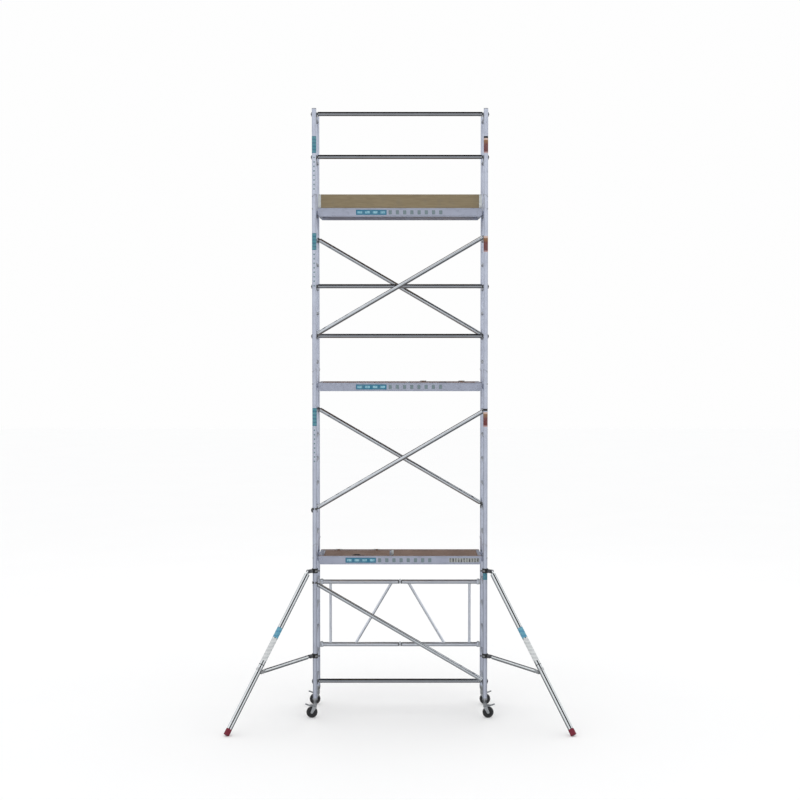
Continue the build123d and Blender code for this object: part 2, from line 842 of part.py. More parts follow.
def stabiliser_collar():
    on_leg, pivot = collar_pivot()
    along = leg_direction()
    lug = clevis((0, 0), 30.0, 42.0)
    strut_start = Vector(strut_pivot[0], 0, strut_pivot[1])
    inwards = (strut_start - pivot).normalized()
    turned = Plane(origin=pivot, x_dir=inwards, z_dir=inwards.cross(Vector(0, 1, 0)))
    ears = turned * lug
    reach = along * collar_half_length
    ring = rod(tuple(on_leg - reach), tuple(on_leg + reach), leg_radius + 4)
    web = rod(tuple(on_leg), tuple(pivot - (pivot - on_leg).normalized() * 18), 12)
    bore = rod(tuple(on_leg - along * 60), tuple(on_leg + along * 60), leg_radius + 0.2)
    return ring + web + ears - bore


def stabiliser_strut():
    start = Vector(strut_pivot[0], 0, strut_pivot[1])
    end = collar_pivot()[1]
    along = (end - start).normalized()
    shell = tube(tuple(start + along * 32), tuple(end - along * 32), strut_radius, 2.5)
    inner = strut_radius - 2.5
    plugs = rod(tuple(start + along * 28), tuple(start + along * 70), inner)
    plugs += rod(tuple(end - along * 70), tuple(end - along * 28), inner)
    return shell + plugs + tongue(start, along, 34, 28) + tongue(end, -along, 34, 28)


def stabiliser_foot():
    """Rubber cap on the end of the leg, cut flat where it meets the floor."""
    end = Vector(leg_end[0], 0, leg_end[1])
    along = leg_direction()
    cap = rod(tuple(end - along * foot_length), tuple(end), foot_radius)
    lip = along * (foot_length + 12)
    cap += rod(tuple(end - lip), tuple(end - along * foot_length), leg_radius + 1.3)
    cap -= rod(tuple(end - along * 100), tuple(end - along * 9), leg_radius + 0.05)
    return cap - block(end.X - 200, end.X + 200, -100, 100, -100, 0)


def make_stabilisers():
    collar = collar_pivot()[1]
    pivots = (leg_pivot, strut_pivot)
    collar_bolt = clevis_bolt((collar.X, collar.Z))
    groups = {
        "stabiliser_clamps": [upright_clamp(p) for p in pivots],
        "clamp_hardware": [clamp_clevis(p) for p in pivots]
        + [stabiliser_collar()]
        + [clevis_bolt(p) for p in pivots]
        + [collar_bolt]
        + [clamp_lever(p) for p in pivots],
        "stabiliser_leg": [stabiliser_leg()],
        "stabiliser_strut": [stabiliser_strut()],
        "stabiliser_foot": [stabiliser_foot()],
    }
    place = Pos(-half_bay, front_y, 0) * Rot(0, 0, 180 + stabiliser_heading)
    for name, pieces in groups.items():
        left = [place * piece for piece in pieces]
        save(f"{name}_left", left)
        save(f"{name}_right", [piece.mirror(Plane.YZ) for piece in left])


make_frames()
make_joint_parts()
save("upright_caps", [upright_cap(side, end) for side, end in corners()])
make_casters()
make_rails_and_braces()
make_platforms()
make_toe_boards()
make_gate()
make_stabilisers()
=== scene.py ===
from math import atan2, cos, pi, radians, sin, sqrt, tau

import bmesh
import bpy
from mathutils import Matrix, Vector


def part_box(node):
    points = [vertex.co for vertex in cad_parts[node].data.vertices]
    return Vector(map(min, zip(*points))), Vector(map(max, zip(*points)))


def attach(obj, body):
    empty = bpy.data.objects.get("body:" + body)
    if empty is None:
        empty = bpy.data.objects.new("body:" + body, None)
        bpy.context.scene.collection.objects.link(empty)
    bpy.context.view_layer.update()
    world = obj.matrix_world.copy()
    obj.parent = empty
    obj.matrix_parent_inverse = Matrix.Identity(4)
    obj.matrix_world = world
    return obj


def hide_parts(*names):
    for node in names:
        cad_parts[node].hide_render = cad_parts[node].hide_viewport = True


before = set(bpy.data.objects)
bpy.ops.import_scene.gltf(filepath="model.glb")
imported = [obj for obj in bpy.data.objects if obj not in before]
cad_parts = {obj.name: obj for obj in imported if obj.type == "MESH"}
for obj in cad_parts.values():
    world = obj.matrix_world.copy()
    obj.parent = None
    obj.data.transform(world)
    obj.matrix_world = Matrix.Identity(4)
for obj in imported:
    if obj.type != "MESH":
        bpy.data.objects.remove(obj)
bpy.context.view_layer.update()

# Mobile tower scaffold: the looks. Metres, X along the bay, Y from front to rear, Z up.
# Names that end in _mm, and the outlines given to the lathes, are in millimetres.
MM = 0.001

# ---- places worked out from the frame ----
base_low, base_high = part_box("base_frame_left")
UPRIGHT_R = (base_high.x - base_low.x) / 2
HALF_BAY = -(base_low.x + base_high.x) / 2
FRONT_Y = base_low.y + UPRIGHT_R
REAR_Y = base_high.y - UPRIGHT_R
TOWER_Y = (FRONT_Y + REAR_Y) / 2

SIDES = {"left": -1, "right": 1}
ENDS = {"front": -1, "rear": 1}

# ---- sizes shared with the design ----
RUNG_R = 17 * MM
FIRST_RUNG = 0.375
RUNG_PITCH = 0.280
FRAME_RUNGS = {"base": range(0, 6), "mid": range(6, 13), "upper": range(13, 20)}
GUARD_RUNGS = (6.306, 6.786)
RAIL_R = 24 * MM
RAIL_ABOVE_RUNG = 20 * MM
RAIL_INSET = 118 * MM
RAIL_RUNGS = (0, 14, 16)
BRACE_ABOVE_RUNG = 25 * MM
BRACE_INSET = 66 * MM
HOOK_R = 28 * MM
PLATFORM_RUNGS = (5, 12, 19)
HATCH_SIDES = (-1, 1, 1)
DECK_HALF_X = 0.920
DECK_HALF_Y = 0.300
BEAM_WIDTH = 38 * MM
BEAM_HEIGHT = 95 * MM
BEAM_ABOVE_RUNG = 53 * MM
SEAM_OFFSET = 0.100
HATCH_RIM_WIDTH = 16 * MM
HATCH_RIM_REAR = 0.201
TOE_THICKNESS = 22 * MM
GATE_LEVELS = (0.706, 1.442)
GATE_POST_X = 0.812
GATE_STRUT_X = (0.526, 0.092)
GATE_TUBE_R = 25 * MM
GATE_WELD_R = 15.5 * MM
WHEEL_R = 62.5 * MM
WHEEL_TRAIL = 36 * MM
FORK_OUTER = 24 * MM
PEDAL_PIVOT = 134 * MM
HEADING = radians(44.2)
LEG_PIVOT = Vector((0.095, 0, 1.669))
LEG_END = Vector((1.274, 0, 0.013))
LEG_R = 30 * MM
STRUT_PIVOT = Vector((0.085, 0, 0.704))
STRUT_R = 22.5 * MM
COLLAR_SHARE = 0.61
COLLAR_OFFSET = 52 * MM
CLAMP_R = 34 * MM
FOOT_R = 32 * MM


def mm(x, y, z):
    """Vector given in millimetres."""
    return Vector((x, y, z)) * MM


def rung_height(index):
    return FIRST_RUNG + RUNG_PITCH * index


def frame_rungs(level):
    if level == "guard":
        return GUARD_RUNGS
    return [rung_height(i) for i in FRAME_RUNGS[level]]


def end_y(end):
    return FRONT_Y if end < 0 else REAR_Y


def spread(low, high, margin_mm, count):
    """Evenly spaced places between two ends, a margin in from both."""
    first = low + margin_mm * MM
    last = high - margin_mm * MM
    return [first + (last - first) * k / (count - 1) for k in range(count)]


def circle(count):
    """Cosine and sine at equal steps round a full turn."""
    return [(cos(tau * k / count), sin(tau * k / count)) for k in range(count)]


# ---- mesh parts: each function returns (points, faces) ----
def merged(parts):
    points, faces = [], []
    for part_points, part_faces in parts:
        shift = len(points)
        points += part_points
        faces += [tuple(i + shift for i in face) for face in part_faces]
    return points, faces


def placed(part, place):
    points, faces = part
    if place.determinant() < 0:
        faces = [tuple(reversed(face)) for face in faces]
    return [place @ Vector(p) for p in points], faces


def loft(rings, closed=False):
    """Skin over equal rings of points, with flat ends unless it closes on itself."""
    count = len(rings[0])
    points = [p for ring in rings for p in ring]
    faces = []
    for i in range(len(rings) if closed else len(rings) - 1):
        a = i * count
        b = (i + 1) % len(rings) * count
        for k in range(count):
            n = (k + 1) % count
            faces.append((a + k, a + n, b + n, b + k))
    if not closed:
        faces.append(tuple(range(count - 1, -1, -1)))
        faces.append(tuple(range(len(points) - count, len(points))))
    return points, faces


def lathe(outline, segments=32):
    """Solid turned about Z from (radius, height) points, lowest end first; it closes at its ends."""
    return loft([[mm(r * c, r * s, h) for c, s in circle(segments)] for r, h in outline])


def ring_lathe(outline, segments=64):
    """Hollow ring turned about Z from a closed (radius, height) outline."""
    return loft([[mm(r * c, r * s, h) for r, h in outline] for c, s in circle(segments)], closed=True)


def square_ring(inner, outer, low, high, segments=64):
    return ring_lathe([(inner, low), (outer, low), (outer, high), (inner, high)], segments)


def frames_along(points, closed):
    """A pair of cross directions at each point of a path, turned as little as possible."""
    count = len(points)
    tangents = []
    for i in range(count):
        before = points[i - 1] if closed or i else points[0]
        after = points[(i + 1) % count] if closed or i < count - 1 else points[-1]
        tangents.append((after - before).normalized())
    across = tangents[0].orthogonal().normalized()
    pairs = []
    for tangent in tangents:
        across = (across - tangent * across.dot(tangent)).normalized()
        pairs.append((across.copy(), tangent.cross(across)))
    return pairs


def bead(points, radius, sides=7, closed=False, ripple=0.0):
    """Round bar along a path; with a ripple, every other ring of it is thinner, as in a weld."""
    rings = []
    for i, (across, up) in enumerate(frames_along(points, closed)):
        size = radius + ripple * (-1) ** i
        rings.append([points[i] + (across * c + up * s) * size for c, s in circle(sides)])
    return loft(rings, closed=closed)


def facing(origin, direction):
    """Matrix that puts local +Z along a direction at a point."""
    turn = Vector(direction).to_track_quat("Z", "Y").to_matrix().to_4x4()
    return Matrix.Translation(Vector(origin)) @ turn


def rivet(origin, direction, radius_mm, height_mm):
    profile = [(radius_mm, -0.6), (radius_mm, 0)]
    for k in range(1, 6):
        angle = pi / 2 * k / 6
        profile.append((radius_mm * cos(angle), height_mm * sin(angle)))
    return placed(lathe(profile, 20), facing(origin, direction))


def hex_bolt(origin, direction, flats_mm, height_mm):
    """Hexagon head with a chamfered top on a thin round flange."""
    corner = flats_mm / sqrt(3)
    sections = [(corner * size, 1.2 + height_mm * share) for size, share in ((1, 0), (1, 0.8), (0.88, 1))]
    washer = lathe([(flats_mm * 0.72, 0), (flats_mm * 0.74, 0.6), (flats_mm * 0.72, 1.2)], 28)
    return placed(merged([washer, lathe(sections, 6)]), facing(origin, direction))


def rounded_box(corner, opposite, edge_mm, steps=2, place=Matrix()):
    """Block between two opposite corners with rounded edges."""
    low = [min(pair) for pair in zip(corner, opposite)]
    high = [max(pair) for pair in zip(corner, opposite)]
    shape = bmesh.new()
    bmesh.ops.create_cube(shape, size=1.0)
    for vertex in shape.verts:
        vertex.co = [low[i] + (vertex.co[i] + 0.5) * (high[i] - low[i]) for i in range(3)]
    bmesh.ops.bevel(
        shape, geom=shape.edges[:], offset=edge_mm * MM, segments=steps, profile=0.5, affect="EDGES"
    )
    bmesh.ops.recalc_face_normals(shape, faces=shape.faces[:])
    shape.verts.index_update()
    points = [v.co.copy() for v in shape.verts]
    faces = [tuple(v.index for v in f.verts) for f in shape.faces]
    shape.free()
    return placed((points, faces), place)


def plate(width, height, corner, thickness, place):
    """Plate with round corners, flat in local X and Y, thick along local Z, its top edge eased."""
    ease = min(thickness * 0.4, 0.6 * MM)
    flat = []
    for quarter, (x, y) in enumerate(((1, 1), (-1, 1), (-1, -1), (1, -1))):
        centre = Vector((x * (width / 2 - corner), y * (height / 2 - corner), 0))
        for k in range(6):
            angle = pi / 2 * (quarter + k / 5)
            flat.append(centre + Vector((cos(angle), sin(angle), 0)) * corner)
    side = [p + Vector((0, 0, thickness - ease)) for p in flat]
    top = [p + Vector((0, 0, thickness)) - p.normalized() * ease for p in flat]
    return placed(loft([flat, side, top]), place)


def add_object(name, data):
    made = bpy.data.objects.new(name, data)
    bpy.context.scene.collection.objects.link(made)
    return made


def piece(name, parts, look, body="tower", smooth_angle=38):
    """One named object from mesh parts, riding on a CAD body."""
    points, faces = merged(parts)
    mesh = bpy.data.meshes.new(name)
    mesh.from_pydata(points, [], faces)
    mesh.polygons.foreach_set("use_smooth", [True] * len(mesh.polygons))
    mesh.set_sharp_from_angle(angle=radians(smooth_angle))
    mesh.materials.append(LOOKS[look])
    made = add_object(name, mesh)
    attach(made, body)
    return made


# ---- material building ----
class Graph:
    """Short names for the nodes of one node tree."""

    def __init__(self, tree):
        self.tree = tree
        places = self.node("ShaderNodeTexCoord", {}).outputs
        self.place = places["Object"]
        self.shares = places["Generated"]

    def node(self, kind, inputs, **settings):
        """New node; an input is a socket to link, or a value, a colour as red, green and blue."""
        made = self.tree.nodes.new(kind)
        for key, value in settings.items():
            setattr(made, key, value)
        for key, value in inputs.items():
            socket = made.inputs[key]
            if isinstance(value, bpy.types.NodeSocket):
                self.tree.links.new(value, socket)
            else:
                socket.default_value = (*value, 1.0) if socket.type == "RGBA" else value
        return made

    def axes(self, vector):
        return tuple(self.node("ShaderNodeSeparateXYZ", {"Vector": vector}).outputs)

    def scaled(self, vector, scale):
        return self.node("ShaderNodeVectorMath", {0: vector, 1: scale}, operation="MULTIPLY").outputs[0]

    def math(self, operation, a, b=0.0):
        return self.node("ShaderNodeMath", {0: a, 1: b}, operation=operation).outputs[0]

    def times(self, a, b):
        return self.math("MULTIPLY", a, b)

    def plus(self, a, b):
        return self.math("ADD", a, b)

    def minus(self, a, b):
        return self.math("SUBTRACT", a, b)

    def apart(self, a, b=0.0):
        """How far two values lie from each other."""
        return self.math("ABSOLUTE", self.minus(a, b))

    def below(self, a, b):
        return self.math("LESS_THAN", a, b)

    def noise(self, scale=1.0, detail=4.0, roughness=0.55, place=None):
        place = self.place if place is None else place
        inputs = {"Vector": place, "Scale": scale, "Detail": detail, "Roughness": roughness}
        return self.node("ShaderNodeTexNoise", inputs).outputs["Fac"]

    def fit(self, value, low, high, to_low=0.0, to_high=1.0):
        """Value remapped from one range to another and kept inside it."""
        inputs = {"Value": value, 1: low, 2: high, 3: to_low, 4: to_high}
        return self.node("ShaderNodeMapRange", inputs, clamp=True).outputs["Result"]

    def blend(self, factor, a, b):
        return self.node("ShaderNodeMix", {0: factor, 6: a, 7: b}, data_type="RGBA").outputs[2]

    def switch(self, factor, a, b):
        """Vector a where factor is 0 and b where it is 1."""
        return self.node("ShaderNodeMix", {0: factor, 4: a, 5: b}, data_type="VECTOR").outputs[1]

    def ramp(self, value, stops):
        """Colour that follows a list of (position, colour) pairs, the positions from 0 to 1."""
        made = self.node("ShaderNodeValToRGB", {"Fac": value})
        elements = made.color_ramp.elements
        for element, (position, colour) in zip(elements, (stops[0], stops[-1])):
            element.position = position
            element.color = (*colour, 1.0)
        for position, colour in stops[1:-1]:
            elements.new(position).color = (*colour, 1.0)
        return made.outputs["Color"]

    def bump(self, height, distance_mm):
        inputs = {"Height": height, "Distance": distance_mm * MM, "Strength": 1.0}
        return self.node("ShaderNodeBump", inputs).outputs["Normal"]


LOOKS = {}


class Look(Graph):
    """One material with its node graph, kept in LOOKS under its name."""

    def __init__(self, name, **sockets):
        LOOKS[name] = bpy.data.materials.new(name)
        LOOKS[name].use_nodes = True
        super().__init__(LOOKS[name].node_tree)
        self.shader = self.tree.nodes["Principled BSDF"]
        for socket, value in sockets.items():
            self.shader.inputs[socket.replace("_", " ")].default_value = value

    def finish(self, colour, roughness=None, normal=None):
        for socket, value in (("Base Color", colour), ("Roughness", roughness), ("Normal", normal)):
            if value is not None:
                self.tree.links.new(value, self.shader.inputs[socket])


def shade(colour, scale):
    return [part * scale for part in colour]


def drawn_metal(look, streak_place, dark, light, rough, bump_mm):
    """Drawn or extruded aluminium with handling marks, its streaks laid by streak_place."""
    streaks = look.noise(detail=5, roughness=0.6, place=streak_place)
    clouds = look.noise(7.0, 3)
    smudges = look.noise(24.0, 6, 0.7)
    nicks = look.fit(look.noise(130.0, 2), 0.68, 0.74)
    tone = look.times(look.plus(streaks, clouds), 0.5)
    colour = look.blend(look.fit(tone, 0.35, 0.65), dark, light)
    dull = look.blend(look.fit(smudges, 0.55, 0.75, 0.0, 0.25), colour, shade(dark, 0.62))
    marked = look.blend(look.times(nicks, 0.35), dull, shade(dark, 0.4))
    base_rough = look.fit(streaks, 0.3, 0.7, rough - 0.06, rough + 0.06)
    roughness = look.plus(base_rough, look.fit(smudges, 0.5, 0.8, 0.0, 0.14))
    height = look.minus(streaks, look.times(nicks, 0.8))
    look.finish(marked, roughness, look.bump(height, bump_mm))


def straight_metal(name, stretch, dark, light, rough, bump_mm):
    """Drawn aluminium whose streaks run along the axis with the smallest stretch."""
    look = Look(name, Metallic=1.0)
    drawn_metal(look, look.scaled(look.place, stretch), dark, light, rough, bump_mm)


def frame_tube_look():
    """Uprights drawn along Z and rungs drawn along Y."""
    look = Look("frame_tube", Metallic=1.0)
    inner_edge = (REAR_Y - FRONT_Y) / 2 - UPRIGHT_R
    is_rung = look.below(look.apart(look.axes(look.place)[1], TOWER_Y), inner_edge)
    streaks = look.scaled(look.place, look.switch(is_rung, (420, 420, 5), (420, 5, 420)))
    drawn_metal(look, streaks, (0.61, 0.635, 0.74), (0.74, 0.775, 0.88), 0.32, 0.15)


def brace_look():
    """Bright drawn tubes that climb one way or the other across the bay."""
    look = Look("brace_tube", Metallic=1.0)
    x, y, z = look.axes(look.place)
    slope = atan2(4 * RUNG_PITCH, 2 * HALF_BAY)
    falling = look.math("MAXIMUM", look.below(TOWER_Y, y), look.below(z, base_high.z))
    sign = look.minus(1.0, look.times(falling, 2.0))
    rise = look.times(look.times(z, sin(slope)), sign)
    run = look.times(look.times(x, -sin(slope)), sign)
    along = look.plus(look.times(x, cos(slope)), rise)
    across = look.plus(run, look.times(z, cos(slope)))
    turned = look.node("ShaderNodeCombineXYZ", {0: along, 1: y, 2: across}).outputs[0]
    streaks = look.scaled(turned, (3, 420, 420))
    drawn_metal(look, streaks, (0.66, 0.68, 0.70), (0.78, 0.80, 0.82), 0.12, 0.004)


def weld_look():
    look = Look("weld_bead", Metallic=1.0)
    grain = look.noise(900.0)
    soot = look.fit(look.noise(60.0), 0.35, 0.7)
    colour = look.blend(soot, (0.78, 0.80, 0.82), (0.50, 0.51, 0.52))
    look.finish(colour, look.fit(grain, 0.3, 0.7, 0.3, 0.5), look.bump(grain, 0.2))


def cast_look():
    """Tumbled aluminium castings."""
    look = Look("cast_aluminium", Metallic=1.0)
    grain = look.noise(700.0, 5)
    clouds = look.fit(look.noise(25.0), 0.35, 0.65)
    colour = look.blend(clouds, (0.46, 0.48, 0.50), (0.62, 0.64, 0.66))
    look.finish(colour, look.fit(grain, 0.3, 0.7, 0.42, 0.6), look.bump(grain, 0.3))


def zinc_look(name, tint, roughness):
    """Zinc plated steel: small crystals, rub marks and a faint warm cast."""
    look = Look(name, Metallic=1.0)
    cells = look.node("ShaderNodeTexVoronoi", {"Vector": look.place, "Scale": 260.0})
    crystal_tint, crystal_height, _ = look.axes(cells.outputs["Color"])
    rubs = look.noise(45.0, 6, 0.7)
    colour = look.blend(look.fit(crystal_tint, 0.0, 1.0, 0.25, 0.75), shade(tint, 0.8), tint)
    rubbed = look.blend(look.fit(rubs, 0.58, 0.72, 0.0, 0.4), colour, (0.42, 0.41, 0.38))
    rough = look.fit(rubs, 0.4, 0.7, roughness - 0.05, roughness + 0.15)
    height = look.plus(look.times(crystal_height, 0.3), rubs)
    look.finish(rubbed, rough, look.bump(height, 0.12))


def clamp_look():
    """Dark zinc on the clevises and levers at the uprights, bright zinc on the collars further out."""
    look = Look("clamp_steel", Metallic=1.0)
    is_dark = look.below(look.apart(look.axes(look.place)[0]), HALF_BAY + 0.3)
    rubs = look.noise(45.0, 6, 0.7)
    rubbed = look.fit(rubs, 0.4, 0.7)
    dark = look.blend(rubbed, (0.19, 0.19, 0.20), (0.30, 0.30, 0.31))
    bright = look.blend(rubbed, (0.62, 0.63, 0.63), (0.76, 0.77, 0.77))
    rough = look.fit(rubs, 0.4, 0.7, 0.3, 0.45)
    look.finish(look.blend(is_dark, bright, dark), rough, look.bump(rubs, 0.05))


def plastic_look(name, colour, roughness, lift=1.6):
    """Moulded plastic with a fine spark-eroded grain and paler scuffs."""
    look = Look(name, Specular_IOR_Level=0.45)
    grain = look.noise(900.0, 3)
    clouds = look.noise(18.0, 3)
    scuffs = look.fit(look.noise(95.0, 8, 0.75), 0.60, 0.72)
    tone = look.blend(look.fit(clouds, 0.35, 0.65, 0.0, 0.35), colour, shade(colour, lift))
    scuffed = look.blend(look.times(scuffs, 0.25), tone, (0.45, 0.45, 0.44))
    rough = look.fit(grain, 0.3, 0.7, roughness - 0.06, roughness + 0.06)
    look.finish(scuffed, rough, look.bump(grain, 0.15))


def rubber_look(name, colour, roughness):
    """Rubber with a dull bloom and dust in its grain."""
    look = Look(name, Specular_IOR_Level=0.35)
    grain = look.noise(520.0, 5, 0.65)
    bloom = look.noise(22.0, 5)
    dust = look.times(look.fit(bloom, 0.45, 0.72), 0.35)
    pale = [c * 1.2 + 0.03 for c in colour]
    rough = look.fit(grain, 0.3, 0.7, roughness - 0.08, roughness + 0.08)
    look.finish(look.blend(dust, colour, pale), rough, look.bump(grain, 0.25))


def film_print(look, x, y):
    """Height of the fine raised mesh printed on a deck, as two crossing sets of ridges."""
    ridges = []
    for phase in (look.plus(x, y), look.minus(x, y)):
        wave = look.math("SINE", look.times(phase, tau / (9 * MM)))
        ridges.append(look.math("POWER", look.apart(wave), 6.0))
    return look.math("MAXIMUM", *ridges)


def plywood_look():
    """Film-faced plywood: brown mesh-printed film on top, pale and dark veneers at the edges."""
    look = Look("plywood", Specular_IOR_Level=0.15)
    x, y, z = look.axes(look.place)
    ridges = film_print(look, x, y)
    clouds = look.fit(look.noise(5.0, 5), 0.3, 0.7)
    film = look.blend(clouds, (0.185, 0.118, 0.088), (0.26, 0.175, 0.135))
    worn = look.fit(look.noise(38.0, 8, 0.75), 0.58, 0.75, 0.0, 0.45)
    film = look.blend(worn, film, (0.30, 0.235, 0.185))
    film = look.blend(look.times(ridges, 0.3), film, (0.09, 0.05, 0.035))
    steps = look.math("DIVIDE", look.minus(z, rung_height(PLATFORM_RUNGS[0])), RUNG_PITCH)
    above_rung = look.times(look.math("FRACT", steps), RUNG_PITCH)
    veneer = look.math("FRACT", look.math("DIVIDE", above_rung, 2.8 * MM))
    ply = look.blend(look.below(veneer, 0.5), (0.30, 0.205, 0.125), (0.52, 0.40, 0.27))
    grain = look.noise(place=look.scaled(look.place, (30, 30, 900)))
    ply = look.blend(look.times(grain, 0.4), ply, (0.22, 0.15, 0.09))
    panel_middle = BEAM_ABOVE_RUNG - 7 * MM
    is_edge = look.below(look.apart(above_rung, panel_middle), 4.7 * MM)
    height = look.plus(look.times(ridges, 0.7), worn)
    rough = look.fit(worn, 0.0, 0.45, 0.6, 0.75)
    look.finish(look.blend(is_edge, film, ply), rough, look.bump(height, 0.5))


def toe_wood_look():
    """Varnished softwood boards, grain along each board."""
    look = Look("toe_wood", Specular_IOR_Level=0.4)
    from_middle = look.apart(look.axes(look.place)[1], TOWER_Y)
    is_short = look.below(from_middle, DECK_HALF_Y - 2 * TOE_THICKNESS)
    along = look.scaled(look.place, look.switch(is_short, (1.6, 60, 26), (60, 1.6, 26)))
    rings = look.math("SINE", look.times(look.noise(detail=3, place=along), 46.0))
    fibres = look.noise(14.0, 5, 0.65, along)
    pale = look.blend(look.fit(rings, -1.0, 1.0), (0.25, 0.20, 0.118), (0.21, 0.162, 0.092))
    colour = look.blend(look.times(fibres, 0.45), pale, (0.175, 0.135, 0.078))
    dirt = look.fit(look.noise(11.0, 6), 0.52, 0.75, 0.0, 0.3)
    colour = look.blend(dirt, colour, (0.15, 0.135, 0.11))
    rough = look.fit(fibres, 0.3, 0.7, 0.42, 0.6)
    look.finish(colour, rough, look.bump(look.plus(rings, fibres), 0.12))


def print_wear(look, colour):
    """Faded and scratched vinyl over a printed colour."""
    fade = look.noise(16.0, 5)
    scratch = look.fit(look.noise(160.0, 6, 0.7), 0.60, 0.70, 0.0, 0.45)
    faded = look.blend(look.fit(fade, 0.3, 0.7, 0.0, 0.2), colour, (0.30, 0.32, 0.34))
    worn = look.blend(scratch, faded, (0.52, 0.54, 0.56))
    look.finish(worn, look.fit(fade, 0.3, 0.7, 0.36, 0.5), look.bump(scratch, 0.1))


def sticker_look(name, ground, mark, count, axis, margin=0.0):
    """Vinyl with a row of plain blocks: a generic marking with nothing written on it."""
    look = Look(name, Specular_IOR_Level=0.4)
    shares = look.axes(look.shares)
    step = look.math("FRACT", look.times(shares[axis], float(count)))
    in_step = look.below(look.apart(step, 0.5), 0.3)
    in_row = look.below(look.apart(shares[2 - axis], 0.5), 0.5 - margin)
    clouds = look.fit(look.noise(45.0, 2), 0.4, 0.6, 0.5, 1.0)
    block = look.times(look.times(in_step, in_row), clouds)
    print_wear(look, look.blend(block, ground, mark))


def warning_sticker_look():
    """Vinyl that runs from yellow at the top to red, with a pale rim at both ends."""
    look = Look("red_sticker", Specular_IOR_Level=0.4)
    height = look.axes(look.shares)[2]
    stops = (
        (0.00, (0.45, 0.30, 0.30)),
        (0.07, (0.42, 0.27, 0.27)),
        (0.11, (0.13, 0.020, 0.020)),
        (0.58, (0.14, 0.024, 0.020)),
        (0.68, (0.20, 0.075, 0.030)),
        (0.86, (0.25, 0.12, 0.045)),
        (0.90, (0.56, 0.40, 0.34)),
        (1.00, (0.60, 0.44, 0.38)),
    )
    print_wear(look, look.ramp(height, stops))


def make_looks():
    frame_tube_look()
    brace_look()
    straight_metal("beam", (4, 380, 380), (0.50, 0.52, 0.62), (0.60, 0.63, 0.74), 0.42, 0.2)
    straight_metal("rail_tube", (3, 420, 420), (0.40, 0.41, 0.43), (0.47, 0.48, 0.50), 0.12, 0.004)
    straight_metal("leg_tube", (90, 90, 20), (0.74, 0.76, 0.76), (0.86, 0.88, 0.88), 0.12, 0.004)
    straight_metal("gate_tube", (5, 400, 400), (0.84, 0.87, 0.94), (0.94, 0.96, 0.99), 0.40, 0.15)
    # Rung grips: drawn aluminium tinted darker than the frame tube, as painted shade for the shaded
    # undersides of the rungs.
    straight_metal("shaded_rung_grip", (420, 5, 420), (0.42, 0.44, 0.49), (0.54, 0.56, 0.62), 0.45, 0.1)
    weld_look()
    cast_look()
    clamp_look()
    zinc_look("spigot", (0.70, 0.71, 0.73), 0.38)
    zinc_look("zinc_steel", (0.66, 0.67, 0.68), 0.28)
    zinc_look("toe_bracket", (0.84, 0.86, 0.84), 0.36)
    zinc_look("caster_steel", (0.52, 0.53, 0.54), 0.34)
    zinc_look("pedal", (0.38, 0.39, 0.40), 0.32)
    rubber_look("tyre", (0.030, 0.030, 0.032), 0.62)
    rubber_look("red_rubber", (0.18, 0.012, 0.030), 0.55)
    plastic_look("hub_plastic", (0.022, 0.022, 0.024), 0.45)
    plastic_look("black_plastic", (0.016, 0.017, 0.018), 0.42)
    plastic_look("claw_plastic", (0.070, 0.072, 0.075), 0.46, 1.3)
    plastic_look("grey_plastic", (0.17, 0.175, 0.18), 0.5, 1.2)
    plastic_look("latch_plastic", (0.035, 0.036, 0.038), 0.48, 1.2)
    plastic_look("faded_print", (0.15, 0.20, 0.22), 0.5, 1.2)
    plastic_look("faint_print", (0.16, 0.24, 0.27), 0.5, 1.1)
    plywood_look()
    toe_wood_look()
    sticker_look("upright_sticker", (0.020, 0.14, 0.22), (0.06, 0.26, 0.31), 5, 2)
    sticker_look("beam_sticker", (0.006, 0.14, 0.24), (0.25, 0.50, 0.60), 4, 0, 0.28)
    sticker_look("note_sticker", (0.66, 0.68, 0.68), (0.52, 0.54, 0.55), 7, 2)
    sticker_look("leg_sticker", (0.05, 0.25, 0.40), (0.11, 0.36, 0.47), 3, 2)
    sticker_look("data_sticker", (0.38, 0.40, 0.38), (0.035, 0.035, 0.04), 11, 0)
    warning_sticker_look()


NODES_OF_LOOK = {
    "frame_tube": ("base_frame", "mid_frame", "upper_frame", "guard_frame"),
    "beam": ("platform_frame",),
    "rail_tube": ("guard_rails", "base_rail"),
    "leg_tube": ("stabiliser_leg", "stabiliser_strut"),
    "brace_tube": ("diagonal_braces",),
    "gate_tube": ("gate_half",),
    "toe_bracket": ("toe_board_brackets", "hatch_hinges"),
    "cast_aluminium": ("gate_brackets",),
    "spigot": ("spigots",),
    "zinc_steel": ("spigot_bolts", "lock_clips", "gate_pins"),
    "clamp_steel": ("clamp_hardware",),
    "caster_steel": ("caster_sockets", "caster_fork"),
    "pedal": ("brake_pedal",),
    "tyre": ("caster_tyre",),
    "hub_plastic": ("caster_hub",),
    "black_plastic": ("stabiliser_clamps",),
    "claw_plastic": ("rail_claws", "brace_claws"),
    "grey_plastic": ("upright_caps",),
    "plywood": ("deck_panel", "hatch_1", "hatch_2", "hatch_3"),
    "toe_wood": ("toe_boards",),
    "red_rubber": ("stabiliser_foot",),
}


def dress_frame():
    """Give every CAD node its material by the start of its name."""
    for name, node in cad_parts.items():
        for look, starts in NODES_OF_LOOK.items():
            if name.startswith(starts):
                for place in node.material_slots:
                    place.material = LOOKS[look]


# ---- welds and rung grips ----
def saddle(x, z, end, steps=56):
    """Closed line where a rung meets an upright, a little outside both surfaces."""
    radius = RUNG_R + 1.2 * MM
    wall_radius = UPRIGHT_R + 0.8 * MM
    points = []
    for c, s in circle(steps):
        depth = sqrt(wall_radius**2 - (radius * c) ** 2)
        points.append(Vector((x + radius * c, end_y(end) - end * depth, z + radius * s)))
    return points


